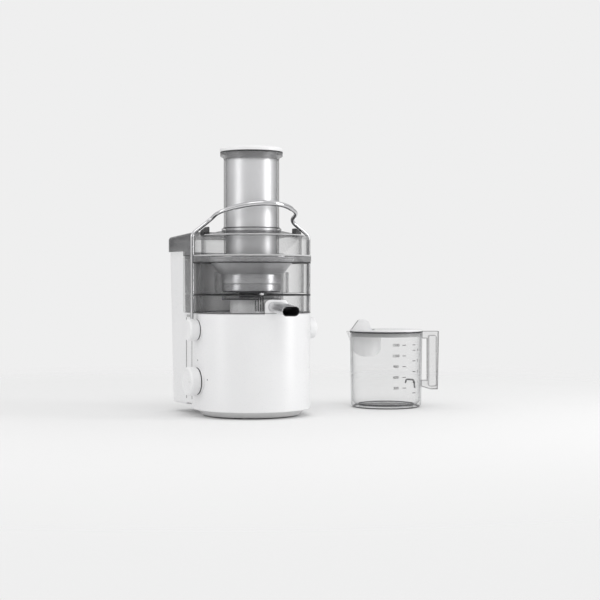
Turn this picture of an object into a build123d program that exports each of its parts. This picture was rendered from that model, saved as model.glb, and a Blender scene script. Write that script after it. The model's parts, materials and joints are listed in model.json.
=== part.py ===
"""Centrifugal juicer with its juice jug.

Millimetres, +Z up. The origin is on the table, on the vertical axis of the motor and basket.
-Y is the front, where the spout points. -X is the side with the speed dial. The pulp
container stands behind, towards +Y, and the jug stands beside the juicer, towards +X.
"""

import os
from math import cos, radians, sin

from build123d import *

os.makedirs("parts", exist_ok=True)

# ---------------------------------------------------------------- driving dimensions
BODY_RADIUS = 100.0  # round front of housing, bowl and lid
FLANK_HALF = 98.0  # half width across the straight rear flanks
BACK = 66.5  # how far back the flanks' shoulders reach
REAR_SPLIT = 26.8  # where the front shell ends and the rear cover begins
WALL = 3.0
CLEAR_WALL = 2.5  # wall of the transparent mouldings

BASE_BOTTOM = 2.0
HOUSING_BOTTOM = 11.7
HOUSING_TOP = 174.0
BOWL_FLOOR = 204.0
BOWL_RIM = 270.0
LID_RIM = 271.6
LID_SHOULDER = 293.0
LID_EDGE_ROUND = 12.0
LID_CROWN = 313.0  # where the lid meets the feed tube
TUBE_BOTTOM = 250.0
TUBE_TOP = 446.0
TUBE_RADIUS = 47.0
TUBE_WALL = 3.0
PUSHER_CAP_TOP = 453.5

PIVOT_Z = 146.5  # hinge of the locking bail
PIVOT_PIN_RADIUS = 5.0
CAP_RADIUS = 18.5
CAP_INNER = 102.2
CAP_OUTER = 118.6
BAIL_ROD_RADIUS = 3.25
BAIL_LEG_X = 109.0
BAIL_LEG_TOP = 306.0
BAIL_SHOULDER = (74.0, 332.0)  # half width and height where the diagonals meet the arch
BAIL_ARCH_REACH = 66.0  # how far the arch leans forward
BAIL_ARCH_RISE = 25.0

DIAL_Z = 60.6
DIAL_RADIUS = 24.0
DIAL_INNER = 102.3
DIAL_OUTER = 119.5

SHAFT_RADIUS = 4.0
RUNNING_FIT = 0.05
BOSS_RADIUS = 37.0
BOSS_TOP = 196.0

SPOUT_WIDTH = 31.0
SPOUT_HEIGHT = 16.5
SPOUT_WALL = 1.75
SPOUT_TIP = (0.0, -150.0, 179.0)
SPOUT_SLOPE = 7.0  # degrees below level
SPOUT_LENGTH = 62.0
CRADLE_WIDTH = 42.0
CRADLE_TOP = 197.0
OUTLET_Y = -76.0  # juice outlet in the bowl's floor

CONTAINER_FRONT = 67.3
CONTAINER_BACK = 150.0
CONTAINER_HALF = 95.0
CONTAINER_BOTTOM = 16.0
CONTAINER_TOP = 277.0

JUG_X = 282.0
JUG_Y = 28.0
JUG_TURN = -27.0  # degrees from +X to the jug's handle
JUG_RADIUS = 65.5
JUG_HEIGHT = 137.0
JUG_WALL = 2.3

UP = (Align.CENTER, Align.CENTER, Align.MIN)
TO_RIGHT = (0, 90, 0)  # turns a primitive's axis from +Z to +X
TO_LEFT = (0, -90, 0)


# ---------------------------------------------------------------- shared outlines
def body_plan(inset=0.0):
    """Adds the plan shared by housing and bowl: round, with a straight-sided shoulder each side."""
    Circle(BODY_RADIUS - inset)
    Rectangle(2 * (FLANK_HALF - inset), BACK - inset, align=(Align.CENTER, Align.MIN))


def ring(inner, outer):
    """Adds a flat ring about the juicer's axis to the sketch."""
    Circle(outer)
    Circle(inner, mode=Mode.SUBTRACT)


def outline(plane, *points):
    """The flat face inside straight edges between the points, on the given plane."""
    with BuildSketch(plane) as flat:
        with BuildLine():
            Polyline(*points, close=True)
        make_face()
    return flat.sketch


def turned(*points):
    """Adds the solid turned about the juicer's axis from a closed (radius, height) outline."""
    revolve(outline(Plane.XZ, *points), axis=Axis.Z)


# ================================================================ housing and base
POST_ANGLES = (-130, -50, 10, 170)
POST_RADIUS = 5.5
POST_CIRCLE = 74.0
MOUNT_SPAN = 60.0  # between the motor's rubber mounts

# The arch-topped block that carries the spout, flush with the round front.
with BuildPart() as cradle_form:
    with BuildSketch(Plane.XZ.offset(BODY_RADIUS + 5)) as cradle_face:
        with Locations((0, HOUSING_TOP - 8)):
            Rectangle(CRADLE_WIDTH, CRADLE_TOP - HOUSING_TOP + 8, align=(Align.CENTER, Align.MIN))
        fillet(cradle_face.vertices().group_by(Axis.Y)[-1], radius=9)
    extrude(amount=-45)
    with BuildSketch(Plane.XY.offset(HOUSING_TOP - 10)):
        Circle(BODY_RADIUS)
    extrude(amount=60, mode=Mode.INTERSECT)

SPOUT_PLANE = Plane(
    origin=SPOUT_TIP,
    x_dir=(1, 0, 0),
    z_dir=(0, cos(radians(SPOUT_SLOPE)), sin(radians(SPOUT_SLOPE))),
)


def spout_section(wall=0.0):
    """Adds the spout's oval section, or its bore when a wall is given."""
    width = SPOUT_WIDTH - 2 * wall
    height = SPOUT_HEIGHT - 2 * wall
    RectangleRounded(width, height, height / 2 - 0.3)


with BuildPart() as motor_housing:
    with BuildSketch(Plane.XY.offset(HOUSING_BOTTOM)):
        body_plan()
    extrude(amount=HOUSING_TOP - HOUSING_BOTTOM)
    fillet(motor_housing.faces().sort_by(Axis.Z)[-1].edges(), radius=2.5)
    fillet(motor_housing.faces().sort_by(Axis.Z)[0].edges(), radius=2.0)
    with BuildSketch(Plane.XY.offset(HOUSING_BOTTOM)):
        body_plan(WALL)
    extrude(amount=HOUSING_TOP - HOUSING_BOTTOM - WALL, mode=Mode.SUBTRACT)
    # the walls behind the split belong to the rear cover
    with BuildSketch(Plane.XY.offset(HOUSING_BOTTOM - 1)):
        with Locations((0, REAR_SPLIT)):
            Rectangle(240, 100, align=(Align.CENTER, Align.MIN))
    extrude(amount=HOUSING_TOP - WALL - HOUSING_BOTTOM + 1, mode=Mode.SUBTRACT)
    # seats of the bail's caps, bored for their bushes
    for turn, side in ((TO_RIGHT, 1), (TO_LEFT, -1)):
        with Locations((side * 94, 0, PIVOT_Z)):
            Cylinder(17, 7.6, align=UP, rotation=turn)
        with Locations((side * 90, 0, PIVOT_Z)):
            Cylinder(7.5, 14, align=UP, rotation=turn, mode=Mode.SUBTRACT)
    # seat of the speed dial
    with Locations((-94, 0, DIAL_Z)):
        Cylinder(22, 7.8, align=UP, rotation=TO_LEFT)
    with Locations((-90, 0, DIAL_Z)):
        Cylinder(3.6, 14, align=UP, rotation=TO_LEFT, mode=Mode.SUBTRACT)
    # boss that raises the drive into the bowl
    with Locations((0, 0, HOUSING_TOP - 1)):
        Cylinder(BOSS_RADIUS, BOSS_TOP - HOUSING_TOP + 1, align=UP)
    with Locations((0, 0, HOUSING_TOP - WALL)):
        Cylinder(BOSS_RADIUS - WALL, BOSS_TOP - HOUSING_TOP, align=UP, mode=Mode.SUBTRACT)
    with Locations((0, 0, BOSS_TOP - WALL)):
        Cylinder(14, WALL, align=UP, mode=Mode.SUBTRACT)
    # spout cradle with its bore and the pocket under the bowl's outlet
    add(cradle_form.part)
    with BuildSketch(SPOUT_PLANE):
        spout_section()
    extrude(amount=SPOUT_LENGTH, mode=Mode.SUBTRACT)
    with BuildSketch(SPOUT_PLANE.offset(SPOUT_LENGTH - 1)):
        spout_section(SPOUT_WALL)
    extrude(amount=14, mode=Mode.SUBTRACT)
    with Locations((0, OUTLET_Y, 181)):
        Cylinder(12.2, 30, align=UP, mode=Mode.SUBTRACT)
    # posts and ribs for the base screws
    for angle in POST_ANGLES:
        foot = Vector(POST_CIRCLE, 0).rotate(Axis.Z, angle)
        with Locations(Location((0, 0, HOUSING_BOTTOM + 3.3), (0, 0, angle))):
            with Locations((POST_CIRCLE, 0, 0)):
                Cylinder(POST_RADIUS, 25, align=UP)
            with Locations(((POST_CIRCLE + BODY_RADIUS - 2) / 2, 0, 0)):
                Box(BODY_RADIUS - 2 - POST_CIRCLE, 3, 25, align=UP)
        with Locations((foot.X, foot.Y, HOUSING_BOTTOM)):
            Cylinder(1.9, 20, align=UP, mode=Mode.SUBTRACT)
    # sockets for the motor's rubber mounts
    for x in (-MOUNT_SPAN / 2, MOUNT_SPAN / 2):
        for y in (-MOUNT_SPAN / 2, MOUNT_SPAN / 2):
            with Locations((x, y, 163)):
                Cylinder(7, HOUSING_TOP - WALL - 163, align=UP)
            with Locations((x, y, 163)):
                Cylinder(2.05, 7, align=UP, mode=Mode.SUBTRACT)
motor_housing.part.label = "motor_housing"
export_step(motor_housing.part, "parts/motor_housing.step")

REAR_BOTTOM = 21.0
BOARD_BACK = 74.0  # rear face of the control board
BASE_RIM = 93.4
REAR_INSET = 2.0  # the rear cover lies inside the line of the front shell
GLAND_AT = (FLANK_HALF - REAR_INSET, 46.0, 36.0)

with BuildPart() as rear_cover:
    with BuildSketch(Plane.XY.offset(REAR_BOTTOM)):
        body_plan(REAR_INSET)
    extrude(amount=HOUSING_TOP - WALL - REAR_BOTTOM)
    with BuildSketch(Plane.XY.offset(HOUSING_BOTTOM + WALL)):
        Circle(BASE_RIM)
    extrude(amount=REAR_BOTTOM - HOUSING_BOTTOM - WALL)
    with BuildSketch(Plane.XY.offset(REAR_BOTTOM + WALL)):
        body_plan(REAR_INSET + WALL)
    extrude(amount=HOUSING_TOP - REAR_BOTTOM, mode=Mode.SUBTRACT)
    with BuildSketch(Plane.XY.offset(HOUSING_BOTTOM)):
        Circle(BASE_RIM - WALL)
    extrude(amount=REAR_BOTTOM, mode=Mode.SUBTRACT)
    with BuildSketch(Plane.XY):
        with Locations((0, REAR_SPLIT + 0.2)):
            Rectangle(240, 300, align=(Align.CENTER, Align.MAX))
    extrude(amount=HOUSING_TOP, mode=Mode.SUBTRACT)
    # entry of the mains lead
    with Locations((GLAND_AT[0] - 10, GLAND_AT[1], GLAND_AT[2])):
        Cylinder(5.5, 20, align=UP, rotation=TO_RIGHT, mode=Mode.SUBTRACT)
    # standoffs of the control board
    for x in (-34, 34):
        for z in (36, 80):
            with Locations((x, BOARD_BACK, z)):
                Cylinder(2.5, 16.3, align=UP, rotation=(-90, 0, 0))
rear_cover.part.label = "rear_cover"
export_step(rear_cover.part, "parts/rear_cover.step")

FOOT_CIRCLE = 62.0
FOOT_RADIUS = 9.0

with BuildPart() as base_cover:
    turned(
        (0, BASE_BOTTOM),
        (82, BASE_BOTTOM),
        (BASE_RIM, HOUSING_BOTTOM),
        (BASE_RIM, HOUSING_BOTTOM + WALL - 0.1),
        (BASE_RIM - WALL, HOUSING_BOTTOM + WALL - 0.1),
        (BASE_RIM - WALL, HOUSING_BOTTOM),
        (80, BASE_BOTTOM + WALL),
        (0, BASE_BOTTOM + WALL),
    )
    # ledge inside the front shell
    with BuildSketch(Plane.XY.offset(HOUSING_BOTTOM + 0.1)):
        ring(BASE_RIM - WALL, BODY_RADIUS - WALL - 0.2)
        with Locations((0, REAR_SPLIT - 0.3)):
            Rectangle(240, 200, align=(Align.CENTER, Align.MIN), mode=Mode.SUBTRACT)
    extrude(amount=WALL - 0.2)
    # tongue under the pulp container
    with BuildSketch(Plane.XY.offset(CONTAINER_BOTTOM - 7)):
        with Locations((0, BASE_RIM - 5)):
            Rectangle(90, 20, align=(Align.CENTER, Align.MIN))
        with Locations((0, BASE_RIM + 46)):
            RectangleRounded(90, 50, 14, align=(Align.CENTER, Align.MAX))
        Circle(BASE_RIM - WALL, mode=Mode.SUBTRACT)
    extrude(amount=5.5)
    # screw bosses, sunk from below
    for angle in POST_ANGLES:
        foot = Vector(POST_CIRCLE, 0).rotate(Axis.Z, angle)
        with Locations((foot.X, foot.Y, BASE_BOTTOM + 1)):
            Cylinder(6.5, 11.9, align=UP)
        with Locations((foot.X, foot.Y, 0)):
            Cylinder(2.0, 20, align=UP, mode=Mode.SUBTRACT)
        with Locations((foot.X, foot.Y, BASE_BOTTOM)):
            Cylinder(4.4, 5, align=UP, mode=Mode.SUBTRACT)
    # pockets for the rubber feet
    with Locations((0, 0, BASE_BOTTOM)):
        with PolarLocations(FOOT_CIRCLE, 4, 45):
            Cylinder(FOOT_RADIUS, 1.8, align=UP, mode=Mode.SUBTRACT)
    # cooling air slots under the fan
    with BuildSketch(Plane.XY.offset(BASE_BOTTOM)):
        with PolarLocations(30, 16):
            SlotOverall(24, 4)
    extrude(amount=WALL, mode=Mode.SUBTRACT)
base_cover.part.label = "base_cover"
export_step(base_cover.part, "parts/base_cover.step")

with BuildPart() as rubber_feet:
    with PolarLocations(FOOT_CIRCLE, 4, 45):
        Cylinder(FOOT_RADIUS, BASE_BOTTOM + 1.8, align=UP)
    fillet(rubber_feet.edges().group_by(Axis.Z)[0], radius=0.8)
rubber_feet.part.label = "rubber_feet"
export_step(rubber_feet.part, "parts/rubber_feet.step")

with BuildPart() as base_screws:
    for angle in POST_ANGLES:
        foot = Vector(POST_CIRCLE, 0).rotate(Axis.Z, angle)
        with Locations((foot.X, foot.Y, BASE_BOTTOM + 2.4)):
            Cylinder(4, 2.6, align=UP)
        with Locations((foot.X, foot.Y, BASE_BOTTOM + 5)):
            Cylinder(1.85, 22, align=UP)
base_screws.part.label = "base_screws"
export_step(base_screws.part, "parts/base_screws.step")

with BuildPart() as cord_gland:
    with Locations(GLAND_AT):
        Cylinder(8, 3.5, align=UP, rotation=TO_RIGHT)
    fillet(cord_gland.faces().sort_by(Axis.X)[-1].edges(), radius=1.2)
    with Locations((GLAND_AT[0] - 6, GLAND_AT[1], GLAND_AT[2])):
        Cylinder(5.4, 6.5, align=UP, rotation=TO_RIGHT)
    with Locations((GLAND_AT[0] - 8, GLAND_AT[1], GLAND_AT[2])):
        Cylinder(3.6, 20, align=UP, rotation=TO_RIGHT, mode=Mode.SUBTRACT)
cord_gland.part.label = "cord_gland"
export_step(cord_gland.part, "parts/cord_gland.step")

with BuildPart() as shaft_seal:
    with Locations((0, 0, BOSS_TOP - 4.5)):
        Cylinder(13.9, 5.5, align=UP)
    with Locations((0, 0, BOSS_TOP - 5)):
        Cylinder(SHAFT_RADIUS + RUNNING_FIT, 8, align=UP, mode=Mode.SUBTRACT)
shaft_seal.part.label = "shaft_seal"
export_step(shaft_seal.part, "parts/shaft_seal.step")

with BuildPart() as pivot_bushes:
    for turn, side in ((TO_RIGHT, 1), (TO_LEFT, -1)):
        with Locations((side * 92.5, 0, PIVOT_Z)):
            Cylinder(7.4, 9, align=UP, rotation=turn)
        with Locations((side * 92, 0, PIVOT_Z)):
            Cylinder(
                PIVOT_PIN_RADIUS + RUNNING_FIT, 12, align=UP, rotation=turn, mode=Mode.SUBTRACT
            )
pivot_bushes.part.label = "pivot_bushes"
export_step(pivot_bushes.part, "parts/pivot_bushes.step")

# ================================================================ motor, fixed pieces
BRACKET_X = 88.0
BRACKET_Y = 96.0
BOLT_X = 37.0
BOLT_Y = 41.0
STATOR_Z = (104.0, 140.0)
UPPER_PLATE = (152.0, 156.0)
LOWER_PLATE = (76.0, 80.0)
BEARING_RADIUS = 11.0
BEARING_WIDTH = 7.0


def motor_bracket(plate, hub_bottom, bearing_bottom):
    """An end bracket: a plate with two windows, a hub and its bearing seat."""
    bottom, top = plate
    with BuildPart() as bracket:
        with BuildSketch(Plane.XY.offset(bottom)):
            RectangleRounded(BRACKET_X, BRACKET_Y, 12)
            with GridLocations(0, 68, 1, 2):
                SlotOverall(40, 16, mode=Mode.SUBTRACT)
            with GridLocations(2 * BOLT_X, 2 * BOLT_Y, 2, 2):
                Circle(2.1, mode=Mode.SUBTRACT)
        extrude(amount=top - bottom)
        with Locations((0, 0, hub_bottom)):
            Cylinder(15, top - hub_bottom, align=UP)
        with Locations((0, 0, bearing_bottom)):
            Cylinder(BEARING_RADIUS, BEARING_WIDTH, align=UP, mode=Mode.SUBTRACT)
        with Locations((0, 0, hub_bottom)):
            Cylinder(6, top - hub_bottom, align=UP, mode=Mode.SUBTRACT)
    return bracket


def ball_bearing(bottom):
    """A bearing ring with its shaft bore and shallow face grooves."""
    with BuildPart() as bearing:
        with Locations((0, 0, bottom)):
            Cylinder(BEARING_RADIUS, BEARING_WIDTH, align=UP)
            Cylinder(SHAFT_RADIUS + RUNNING_FIT, BEARING_WIDTH, align=UP, mode=Mode.SUBTRACT)
        for z in (bottom, bottom + BEARING_WIDTH - 0.6):
            with BuildSketch(Plane.XY.offset(z)):
                ring(6.2, 9)
            extrude(amount=0.6, mode=Mode.SUBTRACT)
    return bearing


with BuildPart() as upper_bracket:
    add(motor_bracket(UPPER_PLATE, 145, 147).part)
    for x in (-MOUNT_SPAN / 2, MOUNT_SPAN / 2):
        for y in (-MOUNT_SPAN / 2, MOUNT_SPAN / 2):
            with Locations((x, y, UPPER_PLATE[0])):
                Cylinder(7.5, 4, align=UP)
                Cylinder(2.05, 4, align=UP, mode=Mode.SUBTRACT)
upper_bracket.part.label = "upper_bracket"
export_step(upper_bracket.part, "parts/upper_bracket.step")

lower_bracket = motor_bracket(LOWER_PLATE, 69, 71)
lower_bracket.part.label = "lower_bracket"
export_step(lower_bracket.part, "parts/lower_bracket.step")

upper_bearing = ball_bearing(147)
upper_bearing.part.label = "upper_bearing"
export_step(upper_bearing.part, "parts/upper_bearing.step")

lower_bearing = ball_bearing(71)
lower_bearing.part.label = "lower_bearing"
export_step(lower_bearing.part, "parts/lower_bearing.step")

with BuildPart() as motor_stator:
    with BuildSketch(Plane.XY.offset(STATOR_Z[0])):
        RectangleRounded(BRACKET_X, BRACKET_Y, 12)
        Circle(24, mode=Mode.SUBTRACT)
        with Locations((0, 33.5), (0, -33.5)):
            Rectangle(44, 9, mode=Mode.SUBTRACT)
        with GridLocations(2 * BOLT_X, 2 * BOLT_Y, 2, 2):
            Circle(2.1, mode=Mode.SUBTRACT)
    extrude(amount=STATOR_Z[1] - STATOR_Z[0])
motor_stator.part.label = "motor_stator"
export_step(motor_stator.part, "parts/motor_stator.step")

with BuildPart() as field_coils:
    for side in (-1, 1):
        with BuildSketch(Plane.YZ.offset(-20)):
            with Locations((side * 41.75, 122)):
                RectangleRounded(24.5, 48, 4)
            with Locations((side * 43, 122)):
                Rectangle(10.6, 36.6, mode=Mode.SUBTRACT)
        extrude(amount=40)
field_coils.part.label = "field_coils"
export_step(field_coils.part, "parts/field_coils.step")

with BuildPart() as motor_bolts:
    with Locations((0, 0, LOWER_PLATE[0])):
        with GridLocations(2 * BOLT_X, 2 * BOLT_Y, 2, 2):
            Cylinder(2, UPPER_PLATE[1] - LOWER_PLATE[0], align=UP)
    with Locations((0, 0, LOWER_PLATE[0] - 3), (0, 0, UPPER_PLATE[1])):
        with GridLocations(2 * BOLT_X, 2 * BOLT_Y, 2, 2):
            Cylinder(3.6, 3, align=UP)
motor_bolts.part.label = "motor_bolts"
export_step(motor_bolts.part, "parts/motor_bolts.step")

with BuildPart() as vibration_mounts:
    with Locations((0, 0, UPPER_PLATE[1])):
        with GridLocations(MOUNT_SPAN, MOUNT_SPAN, 2, 2):
            Cylinder(7, 163 - UPPER_PLATE[1], align=UP)
            Cylinder(2.1, 163 - UPPER_PLATE[1], align=UP, mode=Mode.SUBTRACT)
vibration_mounts.part.label = "vibration_mounts"
export_step(vibration_mounts.part, "parts/vibration_mounts.step")

with BuildPart() as mount_screws:
    with Locations((0, 0, UPPER_PLATE[0] - 2.5)):
        with GridLocations(MOUNT_SPAN, MOUNT_SPAN, 2, 2):
            Cylinder(4, 2.5, align=UP)
    with Locations((0, 0, UPPER_PLATE[0])):
        with GridLocations(MOUNT_SPAN, MOUNT_SPAN, 2, 2):
            Cylinder(2, 16, align=UP)
mount_screws.part.label = "mount_screws"
export_step(mount_screws.part, "parts/mount_screws.step")

BRUSH_Z = 91.0

with BuildPart() as brush_holders:
    for side in (-1, 1):
        with Locations((side * 24, 0, BRUSH_Z)):
            Box(20, 10, 9)
            Box(20, 7.2, 6.2, mode=Mode.SUBTRACT)
        with Locations((side * 24, 0, LOWER_PLATE[1])):
            Box(12, 6, BRUSH_Z - 4.5 - LOWER_PLATE[1], align=UP)
brush_holders.part.label = "brush_holders"
export_step(brush_holders.part, "parts/brush_holders.step")

with BuildPart() as carbon_brushes:
    with Locations((-19.6, 0, BRUSH_Z), (19.6, 0, BRUSH_Z)):
        Box(17, 7, 6)
carbon_brushes.part.label = "carbon_brushes"
export_step(carbon_brushes.part, "parts/carbon_brushes.step")

with BuildPart() as control_board:
    with Locations((0, BOARD_BACK - 0.8, 58)):
        Box(84, 1.6, 60)
    with Locations((-22, BOARD_BACK - 5.6, 44), (4, BOARD_BACK - 5.6, 44)):
        Box(16, 8, 14)
    with Locations((24, BOARD_BACK - 1.6, 48)):
        Cylinder(7, 9, align=UP, rotation=(90, 0, 0))
control_board.part.label = "control_board"
export_step(control_board.part, "parts/control_board.step")

with BuildPart() as rotary_switch:
    with Locations((-80.5, 0, DIAL_Z)):
        Box(27, 26, 26)
    with Locations((-66, 0, DIAL_Z)):
        Box(4, 18, 18)
    with Locations((-85, 0, DIAL_Z)):
        Cylinder(3.05, 10, align=UP, rotation=TO_LEFT, mode=Mode.SUBTRACT)
rotary_switch.part.label = "rotary_switch"
export_step(rotary_switch.part, "parts/rotary_switch.step")

with BuildPart() as interlock_switch:
    with Locations((85, 0, PIVOT_Z - 20)):
        Box(11, 22, 14)
    with Locations((85, -6, PIVOT_Z - 13)):
        Box(3, 4, 3, align=UP)
interlock_switch.part.label = "interlock_switch"
export_step(interlock_switch.part, "parts/interlock_switch.step")

# ================================================================ juice bowl and spout
CHAMBER = (87.0, 89.0)  # inner and outer radius of the chamber wall
TROUGH = (61.0, 63.0)
COLLAR = (24.0, 26.5)
LEDGE = (263.0, 265.0)
FLOOR_TOP = BOWL_FLOOR + 3.5

with BuildPart() as juice_bowl:
    # outer wall from the housing's top to the rim
    with BuildSketch(Plane.XY.offset(HOUSING_TOP + 0.1)):
        body_plan()
    extrude(amount=BOWL_RIM - HOUSING_TOP - 0.1)
    with BuildSketch(Plane.XY.offset(HOUSING_TOP + 0.1)):
        body_plan(CLEAR_WALL)
    extrude(amount=BOWL_RIM - HOUSING_TOP, mode=Mode.SUBTRACT)
    # floor and the ledge that carries pulp to the back
    with BuildSketch(Plane.XY.offset(BOWL_FLOOR)):
        body_plan(1)
    extrude(amount=FLOOR_TOP - BOWL_FLOOR)
    with BuildSketch(Plane.XY.offset(LEDGE[0])):
        body_plan(1)
        Circle(CHAMBER[0], mode=Mode.SUBTRACT)
    extrude(amount=LEDGE[1] - LEDGE[0])
    # chamber wall, trough wall, drive collar and locating rings
    for radii, bottom, top in (
        (CHAMBER, HOUSING_TOP + 0.1, LEDGE[1]),
        (TROUGH, BOWL_FLOOR + 1, 243),
        (COLLAR, BOWL_FLOOR + 1, 226),
        ((46, 50), BOSS_TOP + 1.5, BOWL_FLOOR + 1),
    ):
        with BuildSketch(Plane.XY.offset(bottom)):
            ring(*radii)
        extrude(amount=top - bottom)
    with Locations((0, 0, BOWL_FLOOR - 1)):
        Cylinder(COLLAR[0], 10, align=UP, mode=Mode.SUBTRACT)
    # outlet into the cradle
    with Locations((0, OUTLET_Y, 189)):
        Cylinder(11.6, BOWL_FLOOR - 188, align=UP)
    with Locations((0, OUTLET_Y, 188)):
        Cylinder(9, FLOOR_TOP - 187, align=UP, mode=Mode.SUBTRACT)
    # notch over the cradle
    with BuildSketch(Plane.XZ.offset(BODY_RADIUS + 5)) as notch:
        with Locations((0, HOUSING_TOP - 1)):
            Rectangle(CRADLE_WIDTH + 1.4, CRADLE_TOP - HOUSING_TOP + 1.7, align=(Align.CENTER, Align.MIN))
        fillet(notch.vertices().group_by(Axis.Y)[-1], radius=9)
    extrude(amount=-22, mode=Mode.SUBTRACT)
juice_bowl.part.label = "juice_bowl"
export_step(juice_bowl.part, "parts/juice_bowl.step")

with BuildPart() as bowl_seal:
    with BuildSketch(Plane.XY.offset(BOSS_TOP)):
        ring(COLLAR[0], 50)
    extrude(amount=1.5)
bowl_seal.part.label = "bowl_seal"
export_step(bowl_seal.part, "parts/bowl_seal.step")

with BuildPart() as spout:
    with BuildSketch(SPOUT_PLANE):
        spout_section()
    extrude(amount=SPOUT_LENGTH)
    with BuildSketch(SPOUT_PLANE):
        spout_section(SPOUT_WALL)
    extrude(amount=SPOUT_LENGTH, mode=Mode.SUBTRACT)
spout.part.label = "spout"
export_step(spout.part, "parts/spout.step")

# ================================================================ rotor: motor, coupling, basket
COUPLING_Z = (199.5, 209.0)
HUB_RADIUS = 21.0
CUP_TOP = 240.0
CONE_TOP = 268.0
RIM_TOP = 272.0


def coupling_star(gap=0.0):
    """Adds the six-lobed outline of the drive coupling."""
    Circle(11 + gap)
    with PolarLocations(11, 6):
        Circle(3.6 + gap)


with BuildPart() as motor_shaft:
    with Locations((0, 0, 54)):
        Cylinder(SHAFT_RADIUS, 158, align=UP)
    chamfer(motor_shaft.edges().group_by(Axis.Z)[-1], length=0.8)
motor_shaft.part.label = "motor_shaft"
export_step(motor_shaft.part, "parts/motor_shaft.step")

with BuildPart() as armature_core:
    with BuildSketch(Plane.XY.offset(STATOR_Z[0])):
        ring(SHAFT_RADIUS, 23.2)
        with PolarLocations(22.5, 12):
            Rectangle(5, 2.4, mode=Mode.SUBTRACT)
    extrude(amount=STATOR_Z[1] - STATOR_Z[0])
armature_core.part.label = "armature_core"
export_step(armature_core.part, "parts/armature_core.step")

with BuildPart() as armature_windings:
    for bottom in (STATOR_Z[0] - 7, STATOR_Z[1]):
        with BuildSketch(Plane.XY.offset(bottom)):
            ring(SHAFT_RADIUS, 19)
        extrude(amount=5 if bottom == STATOR_Z[1] else 7)
armature_windings.part.label = "armature_windings"
export_step(armature_windings.part, "parts/armature_windings.step")

with BuildPart() as commutator:
    with BuildSketch(Plane.XY.offset(85)):
        ring(SHAFT_RADIUS, 11)
        with PolarLocations(10.8, 24):
            Rectangle(1.2, 0.5, mode=Mode.SUBTRACT)
    extrude(amount=12)
commutator.part.label = "commutator"
export_step(commutator.part, "parts/commutator.step")

with BuildPart() as cooling_fan:
    with BuildSketch(Plane.XY.offset(64)):
        ring(SHAFT_RADIUS, 34)
    extrude(amount=1.6)
    with BuildSketch(Plane.XY.offset(56)):
        ring(SHAFT_RADIUS, 8)
        with PolarLocations(21, 9):
            Rectangle(26.4, 1.6)
    extrude(amount=8)
cooling_fan.part.label = "cooling_fan"
export_step(cooling_fan.part, "parts/cooling_fan.step")

with BuildPart() as drive_coupling:
    with BuildSketch(Plane.XY.offset(COUPLING_Z[0])):
        coupling_star()
        Circle(SHAFT_RADIUS, mode=Mode.SUBTRACT)
    extrude(amount=COUPLING_Z[1] - COUPLING_Z[0])
drive_coupling.part.label = "drive_coupling"
export_step(drive_coupling.part, "parts/drive_coupling.step")

with BuildPart() as basket_hub:
    turned(
        (0, COUPLING_Z[0]),
        (HUB_RADIUS, COUPLING_Z[0]),
        (HUB_RADIUS, CUP_TOP - 5),
        (46, CUP_TOP - 5),
        (46, 209),
        (49, 209),
        (49, CUP_TOP - 2),
        (0, CUP_TOP - 2),
    )
    with BuildSketch(Plane.XY.offset(COUPLING_Z[0])):
        coupling_star(0.2)
    extrude(amount=COUPLING_Z[1] + 0.2 - COUPLING_Z[0], mode=Mode.SUBTRACT)
    with Locations((0, 0, COUPLING_Z[0])):
        Cylinder(SHAFT_RADIUS + 0.1, 212.3 - COUPLING_Z[0], align=UP, mode=Mode.SUBTRACT)
basket_hub.part.label = "basket_hub"
export_step(basket_hub.part, "parts/basket_hub.step")

with BuildPart() as basket_cup:
    turned(
        (0, CUP_TOP - 2),
        (49, CUP_TOP - 2),
        (49, 211),
        (50, 211),
        (50, 222.5),
        (51, 223.5),
        (51, CUP_TOP),
        (0, CUP_TOP),
    )
basket_cup.part.label = "basket_cup"
export_step(basket_cup.part, "parts/basket_cup.step")

with BuildPart() as filter_cone:
    turned(
        (49.6, CUP_TOP),
        (54.5, CUP_TOP),
        (77.0, CONE_TOP),
        (75.8, CONE_TOP),
        (53.9, CUP_TOP + 0.9),
        (49.6, CUP_TOP + 0.9),
    )
filter_cone.part.label = "filter_cone"
export_step(filter_cone.part, "parts/filter_cone.step")

with BuildPart() as basket_rim:
    turned((75.4, CONE_TOP), (80, CONE_TOP), (80, RIM_TOP), (75.4, RIM_TOP))
    fillet(basket_rim.edges().group_by(Axis.Z)[-1], radius=1)
basket_rim.part.label = "basket_rim"
export_step(basket_rim.part, "parts/basket_rim.step")

with BuildPart() as grating_disc:
    with Locations((0, 0, CUP_TOP)):
        Cylinder(49.4, 1.4, align=UP)
    with Locations((0, 0, CUP_TOP + 1.4)):
        Cylinder(8, 3.5, align=UP)
        for count, radius in ((12, 18), (18, 27), (24, 36), (30, 44)):
            with PolarLocations(radius, count, 5):
                Box(4, 1.2, 2, align=UP)
grating_disc.part.label = "grating_disc"
export_step(grating_disc.part, "parts/grating_disc.step")

# ================================================================ locking bail
SHOULDER_X, SHOULDER_Z = BAIL_SHOULDER


def arch_point(x, share):
    """A point of the arch's plane: share runs from 0 at the shoulders to 1 at the front."""
    return (x, -BAIL_ARCH_REACH * share, SHOULDER_Z + BAIL_ARCH_RISE * share)


ARCH_HALF = 30.0
ARCH_ROUND = 72.0
half_path = [
    (BAIL_LEG_X, 0, 153.5),
    (BAIL_LEG_X, 0, BAIL_LEG_TOP),
    arch_point(SHOULDER_X, 0),
    arch_point(SHOULDER_X, 0.42),
    arch_point(ARCH_HALF, 1),
]
other_half = [(-x, y, z) for x, y, z in reversed(half_path)]
half_rounds = [12, 15, 38, ARCH_ROUND]

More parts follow.
